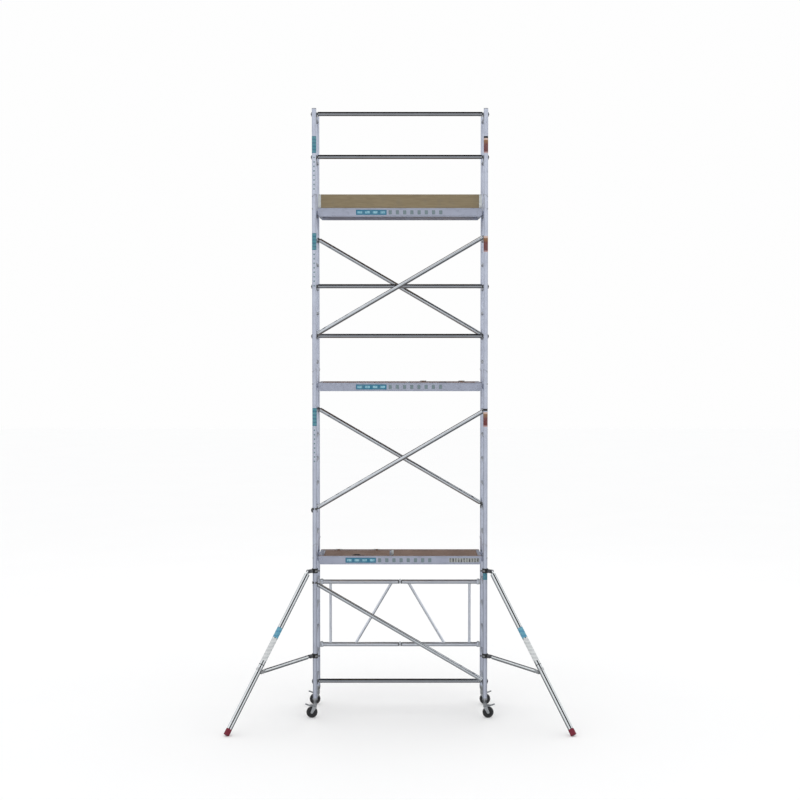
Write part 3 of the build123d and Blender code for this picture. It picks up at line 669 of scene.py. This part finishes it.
def ribbed_sleeve(x, z):
    """Ribbed grip on a rung, with plain ends at the welds."""
    ribs = 26
    heights = (0.25, 0.9, 0.9, 0.25)
    sections = ((FRONT_Y + 33 * MM, 0), (FRONT_Y + 36 * MM, 1), (REAR_Y - 36 * MM, 1), (REAR_Y - 33 * MM, 0))
    rings = []
    for y, share in sections:
        ring = []
        for k, (c, s) in enumerate(circle(4 * ribs)):
            radius = RUNG_R + (0.1 + heights[k % 4] * share) * MM
            ring.append(Vector((x + radius * c, y, z - radius * s)))
        rings.append(ring)
    return loft(rings)


def make_ladder_details():
    for level in ("base", "mid", "upper", "guard"):
        for side_name, side in SIDES.items():
            welds, sleeves = [], []
            for z in frame_rungs(level):
                for end in ENDS.values():
                    line = saddle(side * HALF_BAY, z, end)
                    welds.append(bead(line, 2.6 * MM, closed=True, ripple=0.35 * MM))
                sleeves.append(ribbed_sleeve(side * HALF_BAY, z))
            piece(f"welds_{level}_{side_name}", welds, "weld_bead")
            # The grips take the darker tube colour that stands in for the shade on the rungs.
            piece(f"rung_grips_{level}_{side_name}", sleeves, "shaded_rung_grip")


# ---- claws: rivets, latches, triggers and spines ----
def rail_heights():
    rungs = list(GUARD_RUNGS) + [rung_height(i) for i in RAIL_RUNGS]
    return [z + RAIL_ABOVE_RUNG for z in rungs]


def claw_latch(side, z):
    """Ribbed thumb pad of the sprung latch on the outer jaw of a rail claw."""
    spot = Vector((side * (HALF_BAY + 31 * MM), FRONT_Y + RAIL_INSET - 15 * MM, z))
    parts = [rounded_box(spot + mm(-6, -3, -14), spot + mm(6, 4, 8), 1.5)]
    for lift in (-9, -3, 3):
        parts.append(rounded_box(spot + mm(-5, -4, lift - 0.8), spot + mm(5, -2, lift + 0.8), 0.5))
    return merged(parts)


def hook_spine(centre, side):
    """Stiffening ridge over the outer shoulder of a claw."""
    reach = HOOK_R - 0.2 * MM
    angles = [radians(-20 + 100 * k / 12) for k in range(13)]
    arc = [centre + Vector((side * cos(a), 0, sin(a))) * reach for a in angles]
    return bead(arc, 1.4 * MM, 6)


def tube_end_rivets(centre, along, tube_radius):
    """Four rivets round a tube that hold a plug in its end."""
    across = along.orthogonal().normalized()
    up = along.cross(across)
    outs = [(across * c + up * s).normalized() for c in (1, -1) for s in (1, -1)]
    return merged([rivet(centre + out * tube_radius, out, 3.2, 1.6) for out in outs])


def brace_lines():
    """Low and high end of each brace, four rungs apart on opposite sides of the bay."""
    front = FRONT_Y + BRACE_INSET
    rear = REAR_Y - BRACE_INSET
    lines = []
    for rung, side, y in ((0, 1, front), (7, -1, front), (7, 1, rear), (14, -1, front), (14, 1, rear)):
        low = Vector((side * HALF_BAY, y, rung_height(rung) + BRACE_ABOVE_RUNG))
        lines.append((low, low + Vector((-2 * side * HALF_BAY, 0, 4 * RUNG_PITCH))))
    return lines


def claw_places():
    """Tube axis over the rung, tube direction and rung height of every claw."""
    places = []
    for z in rail_heights():
        for side in (-1, 1):
            point = Vector((side * HALF_BAY, FRONT_Y + RAIL_INSET, z))
            places.append((point, Vector((-side, 0, 0)), z - RAIL_ABOVE_RUNG))
    for low, high in brace_lines():
        for point, other in ((low, high), (high, low)):
            places.append((point, (other - point).normalized(), point.z - BRACE_ABOVE_RUNG))
    return places


def make_claw_details():
    latches = [claw_latch(side, z) for z in rail_heights() for side in (-1, 1)]
    rivets, triggers, spines = [], [], []
    for point, along, rung_z in claw_places():
        rivets.append(tube_end_rivets(point + along * 66 * MM, along, RAIL_R))
        side = 1 if point.x > 0 else -1
        mouth = Vector((point.x - side * 19 * MM, point.y, rung_z))
        triggers.append(rounded_box(mouth + mm(-5, -9, -22), mouth + mm(5, 9, 2), 2))
        for shift in (-16 * MM, 16 * MM):
            spines.append(hook_spine(Vector((point.x, point.y + shift, rung_z)), side))
    piece("claw_latches", latches, "latch_plastic")
    piece("claw_spines", spines, "claw_plastic")
    piece("claw_triggers", triggers, "latch_plastic")
    piece("tube_rivets", rivets, "zinc_steel")


# ---- labels on the uprights ----
LEFT_LABELS = ((3.304, 3.506), (5.275, 5.464), (6.354, 6.543))
RIGHT_LABELS = ((3.293, 3.461), (5.252, 5.431), (6.354, 6.521))
RIGHT_BANDS = ((6.521, 6.543), (3.473, 3.498))
BASE_LABEL = (1.567, 1.646)
SMALL_MARKS = 8
SMALL_MARK_PITCH = 0.050
SMALL_MARK_HEIGHT = 0.017


def upright_label(side, low, high, sweep=2.6, corner=4 * MM, columns=28):
    """Thin sticker with round corners, bent round the front of a front upright."""
    radius = UPRIGHT_R + 0.05 * MM
    centre = Vector((side * HALF_BAY, FRONT_Y, (low + high) / 2))
    half_arc = radius * sweep / 2
    rings = []
    for k in range(columns + 1):
        along = -half_arc + 2 * half_arc * k / columns
        inset = max(0.0, corner - (half_arc - abs(along)))
        half = (high - low) / 2 - corner + sqrt(max(0.0, corner**2 - inset**2))
        out = Vector((sin(along / radius), -cos(along / radius), 0))
        inner, outer = centre + out * radius, centre + out * (radius + 0.35 * MM)
        rise = Vector((0, 0, half))
        rings.append([inner - rise, inner + rise, outer + rise, outer - rise])
    return loft(rings)


def make_upright_labels():
    for number, (low, high) in enumerate(LEFT_LABELS, start=1):
        piece(f"label_left_{number}", [upright_label(-1, low, high)], "upright_sticker")
        tops = [low - 0.040 - SMALL_MARK_PITCH * k for k in range(SMALL_MARKS)]
        marks = [upright_label(-1, top - SMALL_MARK_HEIGHT, top, 0.65) for top in tops]
        piece(f"small_marks_{number}", marks, "faint_print")
    for number, (low, high) in enumerate(RIGHT_LABELS, start=1):
        piece(f"label_right_{number}", [upright_label(1, low, high)], "red_sticker")
    bands = [upright_label(1, low, high) for low, high in RIGHT_BANDS]
    piece("label_right_bands", bands, "black_plastic")
    piece("label_right_base", [upright_label(1, *BASE_LABEL)], "upright_sticker")


# ---- platforms: top is the height of the side beams' upper faces ----
BEAM_LABEL_X = ((-0.617, -0.271), (-0.496, -0.151), (-0.494, -0.150))
LABEL_HEIGHT = 58 * MM
MARK_COUNT = 8
MARK_PITCH = 81 * MM
MARK_SIZE = (36 * MM, 46 * MM)
DATA_LABEL_X = (0.555, 0.895)


def beam_patch(x0, x1, height, z):
    """Flat rounded sticker on the front beam of a platform."""
    place = Matrix.Translation(((x0 + x1) / 2, TOWER_Y - DECK_HALF_Y, z))
    return plate(x1 - x0, height, 5 * MM, 0.5 * MM, place @ Matrix.Rotation(pi / 2, 4, "X"))


def make_beam_details(number, bottom):
    """Ribs along the faces of the side beams and rivets at their ends."""
    reach = DECK_HALF_X - 26 * MM
    ribs, rivets = [], []
    for end in (-1, 1):
        face = TOWER_Y + end * DECK_HALF_Y
        for share in (0.12, 0.88):
            z = bottom + BEAM_HEIGHT * share
            inner, outer = face - end * 0.5 * MM, face + end * 1.6 * MM
            ribs.append(rounded_box((-reach, inner, z - 2.2 * MM), (reach, outer, z + 2.2 * MM), 0.8))
        for side in (-1, 1):
            for dx, dz in ((18, 30), (18, 62), (46, 30), (46, 62)):
                spot = (side * (DECK_HALF_X - dx * MM), face, bottom + dz * MM)
                rivets.append(rivet(spot, (0, end, 0), 4.2, 2.2))
    piece(f"beam_ribs_{number}", ribs, "beam")
    piece(f"beam_rivets_{number}", rivets, "zinc_steel")


def make_beam_labels(number, middle):
    x0, x1 = BEAM_LABEL_X[number - 1]
    label = beam_patch(x0, x1, LABEL_HEIGHT, middle)
    piece(f"beam_label_{number}", [label], "beam_sticker")
    width, height = MARK_SIZE
    centres = [x1 + MARK_PITCH * (k + 0.5) for k in range(MARK_COUNT)]
    marks = [beam_patch(x - width / 2, x + width / 2, height, middle) for x in centres]
    piece(f"beam_marks_{number}", marks, "faded_print")
    if number == 1:
        piece("beam_data_label", [beam_patch(*DATA_LABEL_X, 46 * MM, middle)], "data_sticker")


def make_deck_details(number, top, hatch_side):
    """Anti-slip strips on the side beams, as brown as the deck, and rivets along the fixed panel."""
    reach = DECK_HALF_X - 3 * MM
    inner = DECK_HALF_Y - BEAM_WIDTH
    strips, rivets = [], []
    low_x, high_x = sorted((hatch_side * SEAM_OFFSET, hatch_side * (BEAM_WIDTH - DECK_HALF_X)))
    xs = spread(low_x, high_x, 30, 9)
    for end in (-1, 1):
        y0 = TOWER_Y + end * (inner + 1 * MM)
        y1 = TOWER_Y + end * (DECK_HALF_Y - 0.6 * MM)
        strips.append(rounded_box((-reach, y0, top - 0.3 * MM), (reach, y1, top + 1.4 * MM), 0.6))
        row = TOWER_Y + end * (inner - 20 * MM)
        rivets += [rivet((x, row, top - 2 * MM), (0, 0, 1), 5, 1.4) for x in xs]
    piece(f"deck_strips_{number}", strips, "plywood")
    piece(f"deck_rivets_{number}", rivets, "zinc_steel")


def make_seam_trim(number, top, hatch_side):
    """Riveted aluminium strip along the seam between the fixed panel and the hatch."""
    x0 = hatch_side * (SEAM_OFFSET - 1.5 * MM)
    x1 = x0 - hatch_side * 26 * MM
    low_y = TOWER_Y - DECK_HALF_Y + BEAM_WIDTH
    high_y = TOWER_Y + DECK_HALF_Y - BEAM_WIDTH
    low = (x0, low_y + 1 * MM, top - 2.5 * MM)
    high = (x1, high_y - 1 * MM, top - 0.2 * MM)
    trims = [rounded_box(low, high, 0.7)]
    for y in spread(low_y, high_y, 40, 6):
        trims.append(rivet(((x0 + x1) / 2, y, high[2]), (0, 0, 1), 3.4, 1.2))
    piece(f"seam_trim_{number}", trims, "toe_bracket")


def make_hatch_rim(number, top):
    """Riveted aluminium rim along the front and both ends of a hatch."""
    low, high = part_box(f"hatch_{number}")
    x0, x1 = low.x + 0.5 * MM, high.x - 0.5 * MM
    front = low.y + 0.5 * MM
    inner = front + HATCH_RIM_WIDTH
    under, over = top - 2.2 * MM, top - 0.2 * MM
    rims = [rounded_box((x0, front, under), (x1, inner, over), 0.6)]
    for x, inwards in ((x0, 1), (x1, -1)):
        far = (x + inwards * HATCH_RIM_WIDTH, TOWER_Y + HATCH_RIM_REAR, over)
        rims.append(rounded_box((x, inner, under), far, 0.6))
    for x in spread(x0, x1, 30, 8):
        rims.append(rivet((x, front + HATCH_RIM_WIDTH / 2, over), (0, 0, 1), 3.2, 1.2))
    piece(f"hatch_rim_{number}", rims, "beam", f"hatch_{number}")


def make_hatch_pull(number, top):
    """Pull plate with a bent bar, and the knob of the catch beside it."""
    low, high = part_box(f"hatch_{number}")
    centre = Vector(((low.x + high.x) / 2, low.y + 62.5 * MM, top - 1.7 * MM))
    base = plate(110 * MM, 46 * MM, 10 * MM, 2.2 * MM, Matrix.Translation(centre))
    angles = [pi * k / 12 for k in range(13)]
    bar = [centre + mm(-38 * cos(a), 0, 1 + 7 * sin(a)) for a in angles]
    knob = lathe([(11, 0), (11, 2), (8, 3.4), (3, 3.8)], 28)
    knob = placed(knob, Matrix.Translation(centre + mm(75, -22, 0)))
    parts = [base, bead(bar, 3.2 * MM, 10), knob]
    piece(f"hatch_pull_{number}", parts, "black_plastic", body=f"hatch_{number}")


def make_platforms():
    for number, (rung, hatch_side) in enumerate(zip(PLATFORM_RUNGS, HATCH_SIDES), start=1):
        top = rung_height(rung) + BEAM_ABOVE_RUNG
        make_beam_details(number, top - BEAM_HEIGHT)
        make_beam_labels(number, top - BEAM_HEIGHT / 2)
        make_deck_details(number, top, hatch_side)
        make_seam_trim(number, top, hatch_side)
        make_hatch_rim(number, top)
        make_hatch_pull(number, top)


def make_toe_board_details():
    low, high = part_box("toe_boards")
    screws, clips = [], []
    for side in (-1, 1):
        for end in (-1, 1):
            x = (high.x if side > 0 else low.x) - side * 4 * MM
            y = (high.y if end > 0 else low.y) + end * 2.5 * MM
            for share in (0.2, 0.8):
                z = low.z + (high.z - low.z) * share
                screws.append(rivet((x - side * 4 * MM, y, z), (0, end, 0), 4, 1.6))
            for z in (low.z + 8 * MM, high.z - 8 * MM):
                corner = Vector((x, y, z))
                near = corner + mm(-8 * side, -1.5 * end, -7)
                clips.append(rounded_box(near, corner + mm(18 * side, 6 * end, 7), 2))
    piece("toe_board_screws", screws, "zinc_steel")
    piece("toe_board_clips", clips, "toe_bracket")


# ---- gate ----
def pipe_joint(centre, along, steps=40):
    """Closed line where a thin tube that leads along a direction meets a thicker tube along X."""
    points = []
    for c, s in circle(steps):
        across = Vector((GATE_WELD_R * c, GATE_WELD_R * s, 0))
        depth = sqrt(GATE_TUBE_R**2 - across.y**2)
        points.append(centre + across + along * (depth / abs(along.z)))
    return points


def make_gate_welds():
    low, high = GATE_LEVELS
    for side_name, side in SIDES.items():
        beads = []
        for low_x, high_x in ((GATE_POST_X, GATE_POST_X), GATE_STRUT_X):
            foot = Vector((side * low_x, REAR_Y, low))
            head = Vector((side * high_x, REAR_Y, high))
            for start, end in ((foot, head), (head, foot)):
                line = pipe_joint(start, (end - start).normalized())
                beads.append(bead(line, 2.3 * MM, closed=True, ripple=0.3 * MM))
        piece(f"gate_welds_{side_name}", beads, "weld_bead")


def make_gate_plugs():
    """Dark plastic plugs that close the tube ends on both sides of the centre hinges."""
    outline = [(9, -12), (21, -12), (23.5, -9.5), (23.5, 0), (20, 4)]
    plugs = []
    for side in (-1, 1):
        for z in GATE_LEVELS:
            plugs.append(placed(lathe(outline, 40), facing((side * 26 * MM, REAR_Y, z), (side, 0, 0))))
    piece("gate_plugs", plugs, "claw_plastic")


# ---- casters ----
def caster_place(side, end):
    turn = Matrix.Rotation(0 if side > 0 else pi, 4, "Z")
    return Matrix.Translation((side * HALF_BAY, end_y(end), 0)) @ turn


def mirrored(outline):
    return outline + [(radius, -across) for radius, across in reversed(outline)]


def tyre_outline():
    """Rounded shoulders and a tread with two grooves, as a closed (radius, width) outline."""
    tread = WHEEL_R / MM
    half = [(47.6, -15), (52, -16), (53, -15.4), (54.5, -15.4), (55.5, -16)]
    for k in range(7):
        angle = pi / 2 * k / 6
        half.append((tread - 5 + 5 * sin(angle), -10 - 6 * cos(angle)))
    floor = tread - 1.6
    half += [(tread, -6.3), (floor, -5.7), (floor, -4.3), (tread, -3.7)]
    return mirrored(half)


def hub_parts():
    """Moulded wheel centre with six ribs on each face."""
    half = [(8, -18), (14, -18), (15.5, -16.5), (17, -5), (38, -4), (41.5, -12), (43, -13), (47.5, -13)]
    parts = [ring_lathe(mirrored(half), 96)]
    for face in (-1, 1):
        for k in range(6):
            turn = Matrix.Rotation(tau * k / 6, 4, "Z")
            near, far = mm(14, -1.6, face * 3.5), mm(42, 1.6, face * 10.5)
            parts.append(rounded_box(near, far, 0.8, place=turn))
    return merged(parts)


def make_wheel(tag, place):
    body = f"wheel_{tag}"
    tread = placed(ring_lathe(tyre_outline(), 128), place)
    tyre = piece(f"tyre_{tag}", [tread], "tyre", body, smooth_angle=50)
    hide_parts(f"caster_tyre_{tag}")
    hub = piece(f"hub_{tag}", [placed(hub_parts(), place)], "hub_plastic", body)
    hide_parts(f"caster_hub_{tag}")
    bearings = [placed(square_ring(6.3, 13, low, low + 1.4, 48), place) for low in (-18.6, 17.2)]
    piece(f"hub_bearing_{tag}", bearings, "zinc_steel", body)


def make_fork_details(tag, base):
    """Lower race ring of the swivel and the heads of the pedal's pivot."""
    race = ring_lathe([(17.9, 149.5), (19.4, 149.5), (20.2, 151), (19.4, 152.4), (17.9, 152.4)])
    piece(f"fork_details_{tag}", [placed(race, base)], "caster_steel", f"caster_{tag}")
    heads = []
    for end in (-1, 1):
        spot = (0, end * (FORK_OUTER + 7.4 * MM), PEDAL_PIVOT)
        heads.append(placed(rivet(spot, (0, end, 0), 5.2, 1.6), base))
    piece(f"pedal_rivets_{tag}", heads, "clamp_steel", f"pedal_{tag}")


def make_pedal_ribs(tag, base):
    """Ribs across the pedal's rising tread."""
    slope = atan2(15, 37.5)
    foot = base @ Matrix.Translation(mm(92, 0, 149.6)) @ Matrix.Rotation(-slope, 4, "Y")
    ribs = []
    for x in range(-14, 15, 7):
        ribs.append(rounded_box(mm(x - 1.3, -22, -0.6), mm(x + 1.3, 22, 1.5), 0.6, place=foot))
    piece(f"pedal_ribs_{tag}", ribs, "pedal", f"pedal_{tag}")


def make_casters():
    sideways = Matrix.Rotation(-pi / 2, 4, "X")
    for end_name, end in ENDS.items():
        for side_name, side in SIDES.items():
            tag = f"{end_name}_{side_name}"
            base = caster_place(side, end)
            make_wheel(tag, base @ Matrix.Translation((WHEEL_TRAIL, 0, WHEEL_R)) @ sideways)
            make_fork_details(tag, base)
            make_pedal_ribs(tag, base)


# ---- stabilisers, built in a local frame: X outwards, Z up, origin on the upright axis ----
LEG = LEG_END - LEG_PIVOT
LEG_ALONG = LEG.normalized()


def stabiliser_place(side):
    left = Matrix.Translation((-HALF_BAY, FRONT_Y, 0)) @ Matrix.Rotation(pi + HEADING, 4, "Z")
    if side < 0:
        return left
    return Matrix.Scale(-1, 4, (1, 0, 0)) @ left


def leg_band(share, length, thickness_mm):
    """Ring wrapped round the leg from a share of its length on."""
    inner = LEG_R / MM + 0.05
    ring = square_ring(inner, inner + thickness_mm, 0, length / MM)
    return placed(ring, facing(LEG_PIVOT + LEG * share, LEG_ALONG))


def stabiliser_fasteners():
    """Rivets at the tube ends and bolts at the three pivots."""
    collar = LEG_PIVOT + LEG * COLLAR_SHARE
    joint = collar + Vector((LEG_ALONG.z, 0, -LEG_ALONG.x)) * COLLAR_OFFSET
    strut = joint - STRUT_PIVOT
    strut_along = strut.normalized()
    inset = strut_along * 52 * MM
    parts = [
        tube_end_rivets(LEG_PIVOT + LEG_ALONG * 58 * MM, LEG_ALONG, LEG_R),
        tube_end_rivets(STRUT_PIVOT + inset, strut_along, STRUT_R),
        tube_end_rivets(joint - inset, strut_along, STRUT_R),
    ]
    for pivot in (LEG_PIVOT, STRUT_PIVOT, joint):
        parts.append(hex_bolt(pivot - mm(0, 28, 0), (0, -1, 0), 15, 4))
    return parts


def foot_ribs():
    """Four rings round the rubber foot."""
    radius = FOOT_R / MM
    outline = [(radius - 0.4, -2), (radius + 1.2, -1), (radius + 1.2, 1), (radius - 0.4, 2)]
    centres = [LEG_END - LEG_ALONG * rise * MM for rise in (52, 43, 34, 25)]
    return [placed(ring_lathe(outline), facing(centre, LEG_ALONG)) for centre in centres]


def lever_grips():
    """Plastic grips on the levers of both clamps."""
    spots = [Vector((0, CLAMP_R, pivot.z)) for pivot in (LEG_PIVOT, STRUT_PIVOT)]
    return [rounded_box(spot + mm(4, 2, -10), spot + mm(32, 13, 10), 3, 3) for spot in spots]


def make_stabilisers():
    kinds = (
        ("leg_label", [leg_band(0.355, 0.125, 0.45)], "leg_sticker", None),
        ("leg_notes", [leg_band(0.422, 0.275, 0.45)], "note_sticker", None),
        ("leg_stop", [leg_band(0.58, 0.006, 1.5)], "black_plastic", None),
        ("stabiliser_rivets", stabiliser_fasteners(), "zinc_steel", "zinc_steel"),
        ("foot_ribs", foot_ribs(), "red_rubber", "red_rubber"),
        ("lever_grips", lever_grips(), "grey_plastic", "black_plastic"),
    )
    for side_name, side in SIDES.items():
        base = stabiliser_place(side)
        for kind, parts, look, slot in kinds:
            parts = [placed(part, base) for part in parts]
            piece(f"{kind}_{side_name}", parts, look, f"stabiliser_{side_name}")


# ---- camera, lights and floor ----
CAMERA_HEIGHT = 4.2952
CAMERA_DISTANCE = 18.7336
CAMERA_PITCH = 2.13987
CAMERA_LENS = 75.08


def make_camera():
    data = bpy.data.cameras.new("camera")
    data.lens = CAMERA_LENS
    data.sensor_width = 36
    data.clip_end = 200
    camera = add_object("camera", data)
    camera.location = (0, FRONT_Y - CAMERA_DISTANCE, CAMERA_HEIGHT)
    camera.rotation_euler = (radians(90 - CAMERA_PITCH), 0, 0)
    bpy.context.scene.camera = camera


def make_lights():
    for name, place, aim, size, power in (
        ("key", (-5.0, -9.0, 9.0), 2.5, (5, 5), 45),
        ("fill", (6.5, -7.0, 6.0), 2.5, (4, 6), 20),
        ("back", (1.0, 9.0, 11.0), 2.0, (8, 5), 70),
    ):
        data = bpy.data.lights.new(name, "AREA")
        data.shape = "RECTANGLE"
        data.size, data.size_y = size
        data.energy = power
        light = add_object(name, data)
        light.location = place
        light.visible_glossy = False
        towards = Vector((0, TOWER_Y, aim)) - light.location
        light.rotation_euler = towards.to_track_quat("-Z", "Y").to_euler()


def height_ramp(graph, height, *stops):
    """Cool grey that follows (height, brightness) pairs, the heights from -1 to 1."""
    colours = [((level + 1) / 2, (0.97 * tone, tone, 1.04 * tone)) for level, tone in stops]
    return graph.ramp(graph.fit(height, -1.0, 1.0), colours)


def studio_colour(graph):
    """What shiny metal reflects: bright near the horizon and on both walls, dark overhead."""
    x, y, z = graph.axes(graph.shares)
    low, top = (0.02, 0.86), (1.0, 0.006)
    front = height_ramp(
        graph, z, (-1.0, 0.30), (-0.4, 0.55), (-0.05, 0.70), low, (0.26, 0.90), (0.36, 0.015), top
    )
    behind = height_ramp(
        graph, z, (-1.0, 0.26), (-0.3, 0.30), (-0.05, 0.62), low, (0.20, 0.86), (0.30, 0.03), top
    )
    room = graph.blend(graph.fit(y, 0.0, 0.4), front, behind)
    left_wall = graph.times(graph.fit(z, 0.12, 0.3), graph.fit(x, -0.15, -0.32))
    right_wall = graph.times(graph.fit(z, -0.15, -0.05), graph.fit(x, 0.50, 0.57))
    walls = graph.times(graph.math("MAXIMUM", left_wall, right_wall), graph.fit(y, 0.62, 0.45))
    room = graph.blend(walls, room, (0.90, 0.92, 0.95))
    low_sides = graph.math("MAXIMUM", graph.fit(x, -0.55, -0.75), graph.fit(x, 0.15, 0.38))
    low_sides = graph.times(low_sides, graph.fit(z, -0.15, -0.35))
    room = graph.blend(low_sides, room, (0.13, 0.135, 0.14))
    sideways = graph.fit(graph.apart(x), 0.90, 0.97)
    level = graph.fit(graph.apart(z), 0.3, 0.2)
    strip = graph.times(graph.times(sideways, level), 0.55)
    return graph.blend(strip, room, (0.22, 0.225, 0.23))


def make_world():
    """White surroundings for the eye and for soft light, the studio for reflections."""
    world = bpy.data.worlds.new("studio")
    world.use_nodes = True
    bpy.context.scene.world = world
    world.node_tree.nodes.clear()
    graph = Graph(world.node_tree)
    rays = graph.node("ShaderNodeLightPath", {}).outputs
    white = (1, 1, 1)
    studio = graph.node("ShaderNodeBackground", {"Color": studio_colour(graph)}).outputs[0]
    sky = graph.node("ShaderNodeBackground", {"Color": white, "Strength": 1.035}).outputs[0]
    backdrop = graph.node("ShaderNodeBackground", {"Color": white, "Strength": 0.99}).outputs[0]
    lit = graph.node("ShaderNodeMixShader", {0: rays["Is Glossy Ray"], 1: sky, 2: studio}).outputs[0]
    seen = graph.node("ShaderNodeMixShader", {0: rays["Is Camera Ray"], 1: lit, 2: backdrop}).outputs[0]
    graph.node("ShaderNodeOutputWorld", {"Surface": seen})


def make_floor():
    half = 60.0
    corners = [(-half, -half, 0), (half, -half, 0), (half, half, 0), (-half, half, 0)]
    mesh = bpy.data.meshes.new("floor")
    mesh.from_pydata(corners, [], [(0, 1, 2, 3)])
    floor = add_object("floor", mesh)
    floor.visible_glossy = False
    look = Look("floor", Roughness=0.9, Specular_IOR_Level=0.0)
    colour = look.blend(look.noise(0.6, 3), (0.935, 0.937, 0.94), (0.955, 0.956, 0.958))
    look.finish(colour)
    mesh.materials.append(LOOKS["floor"])


bpy.context.scene.view_settings.view_transform = "Standard"
make_looks()
dress_frame()
make_ladder_details()
make_claw_details()
make_upright_labels()
make_platforms()
make_toe_board_details()
make_gate_welds()
make_gate_plugs()
make_casters()
make_stabilisers()
make_camera()
make_world()
make_floor()
make_lights()
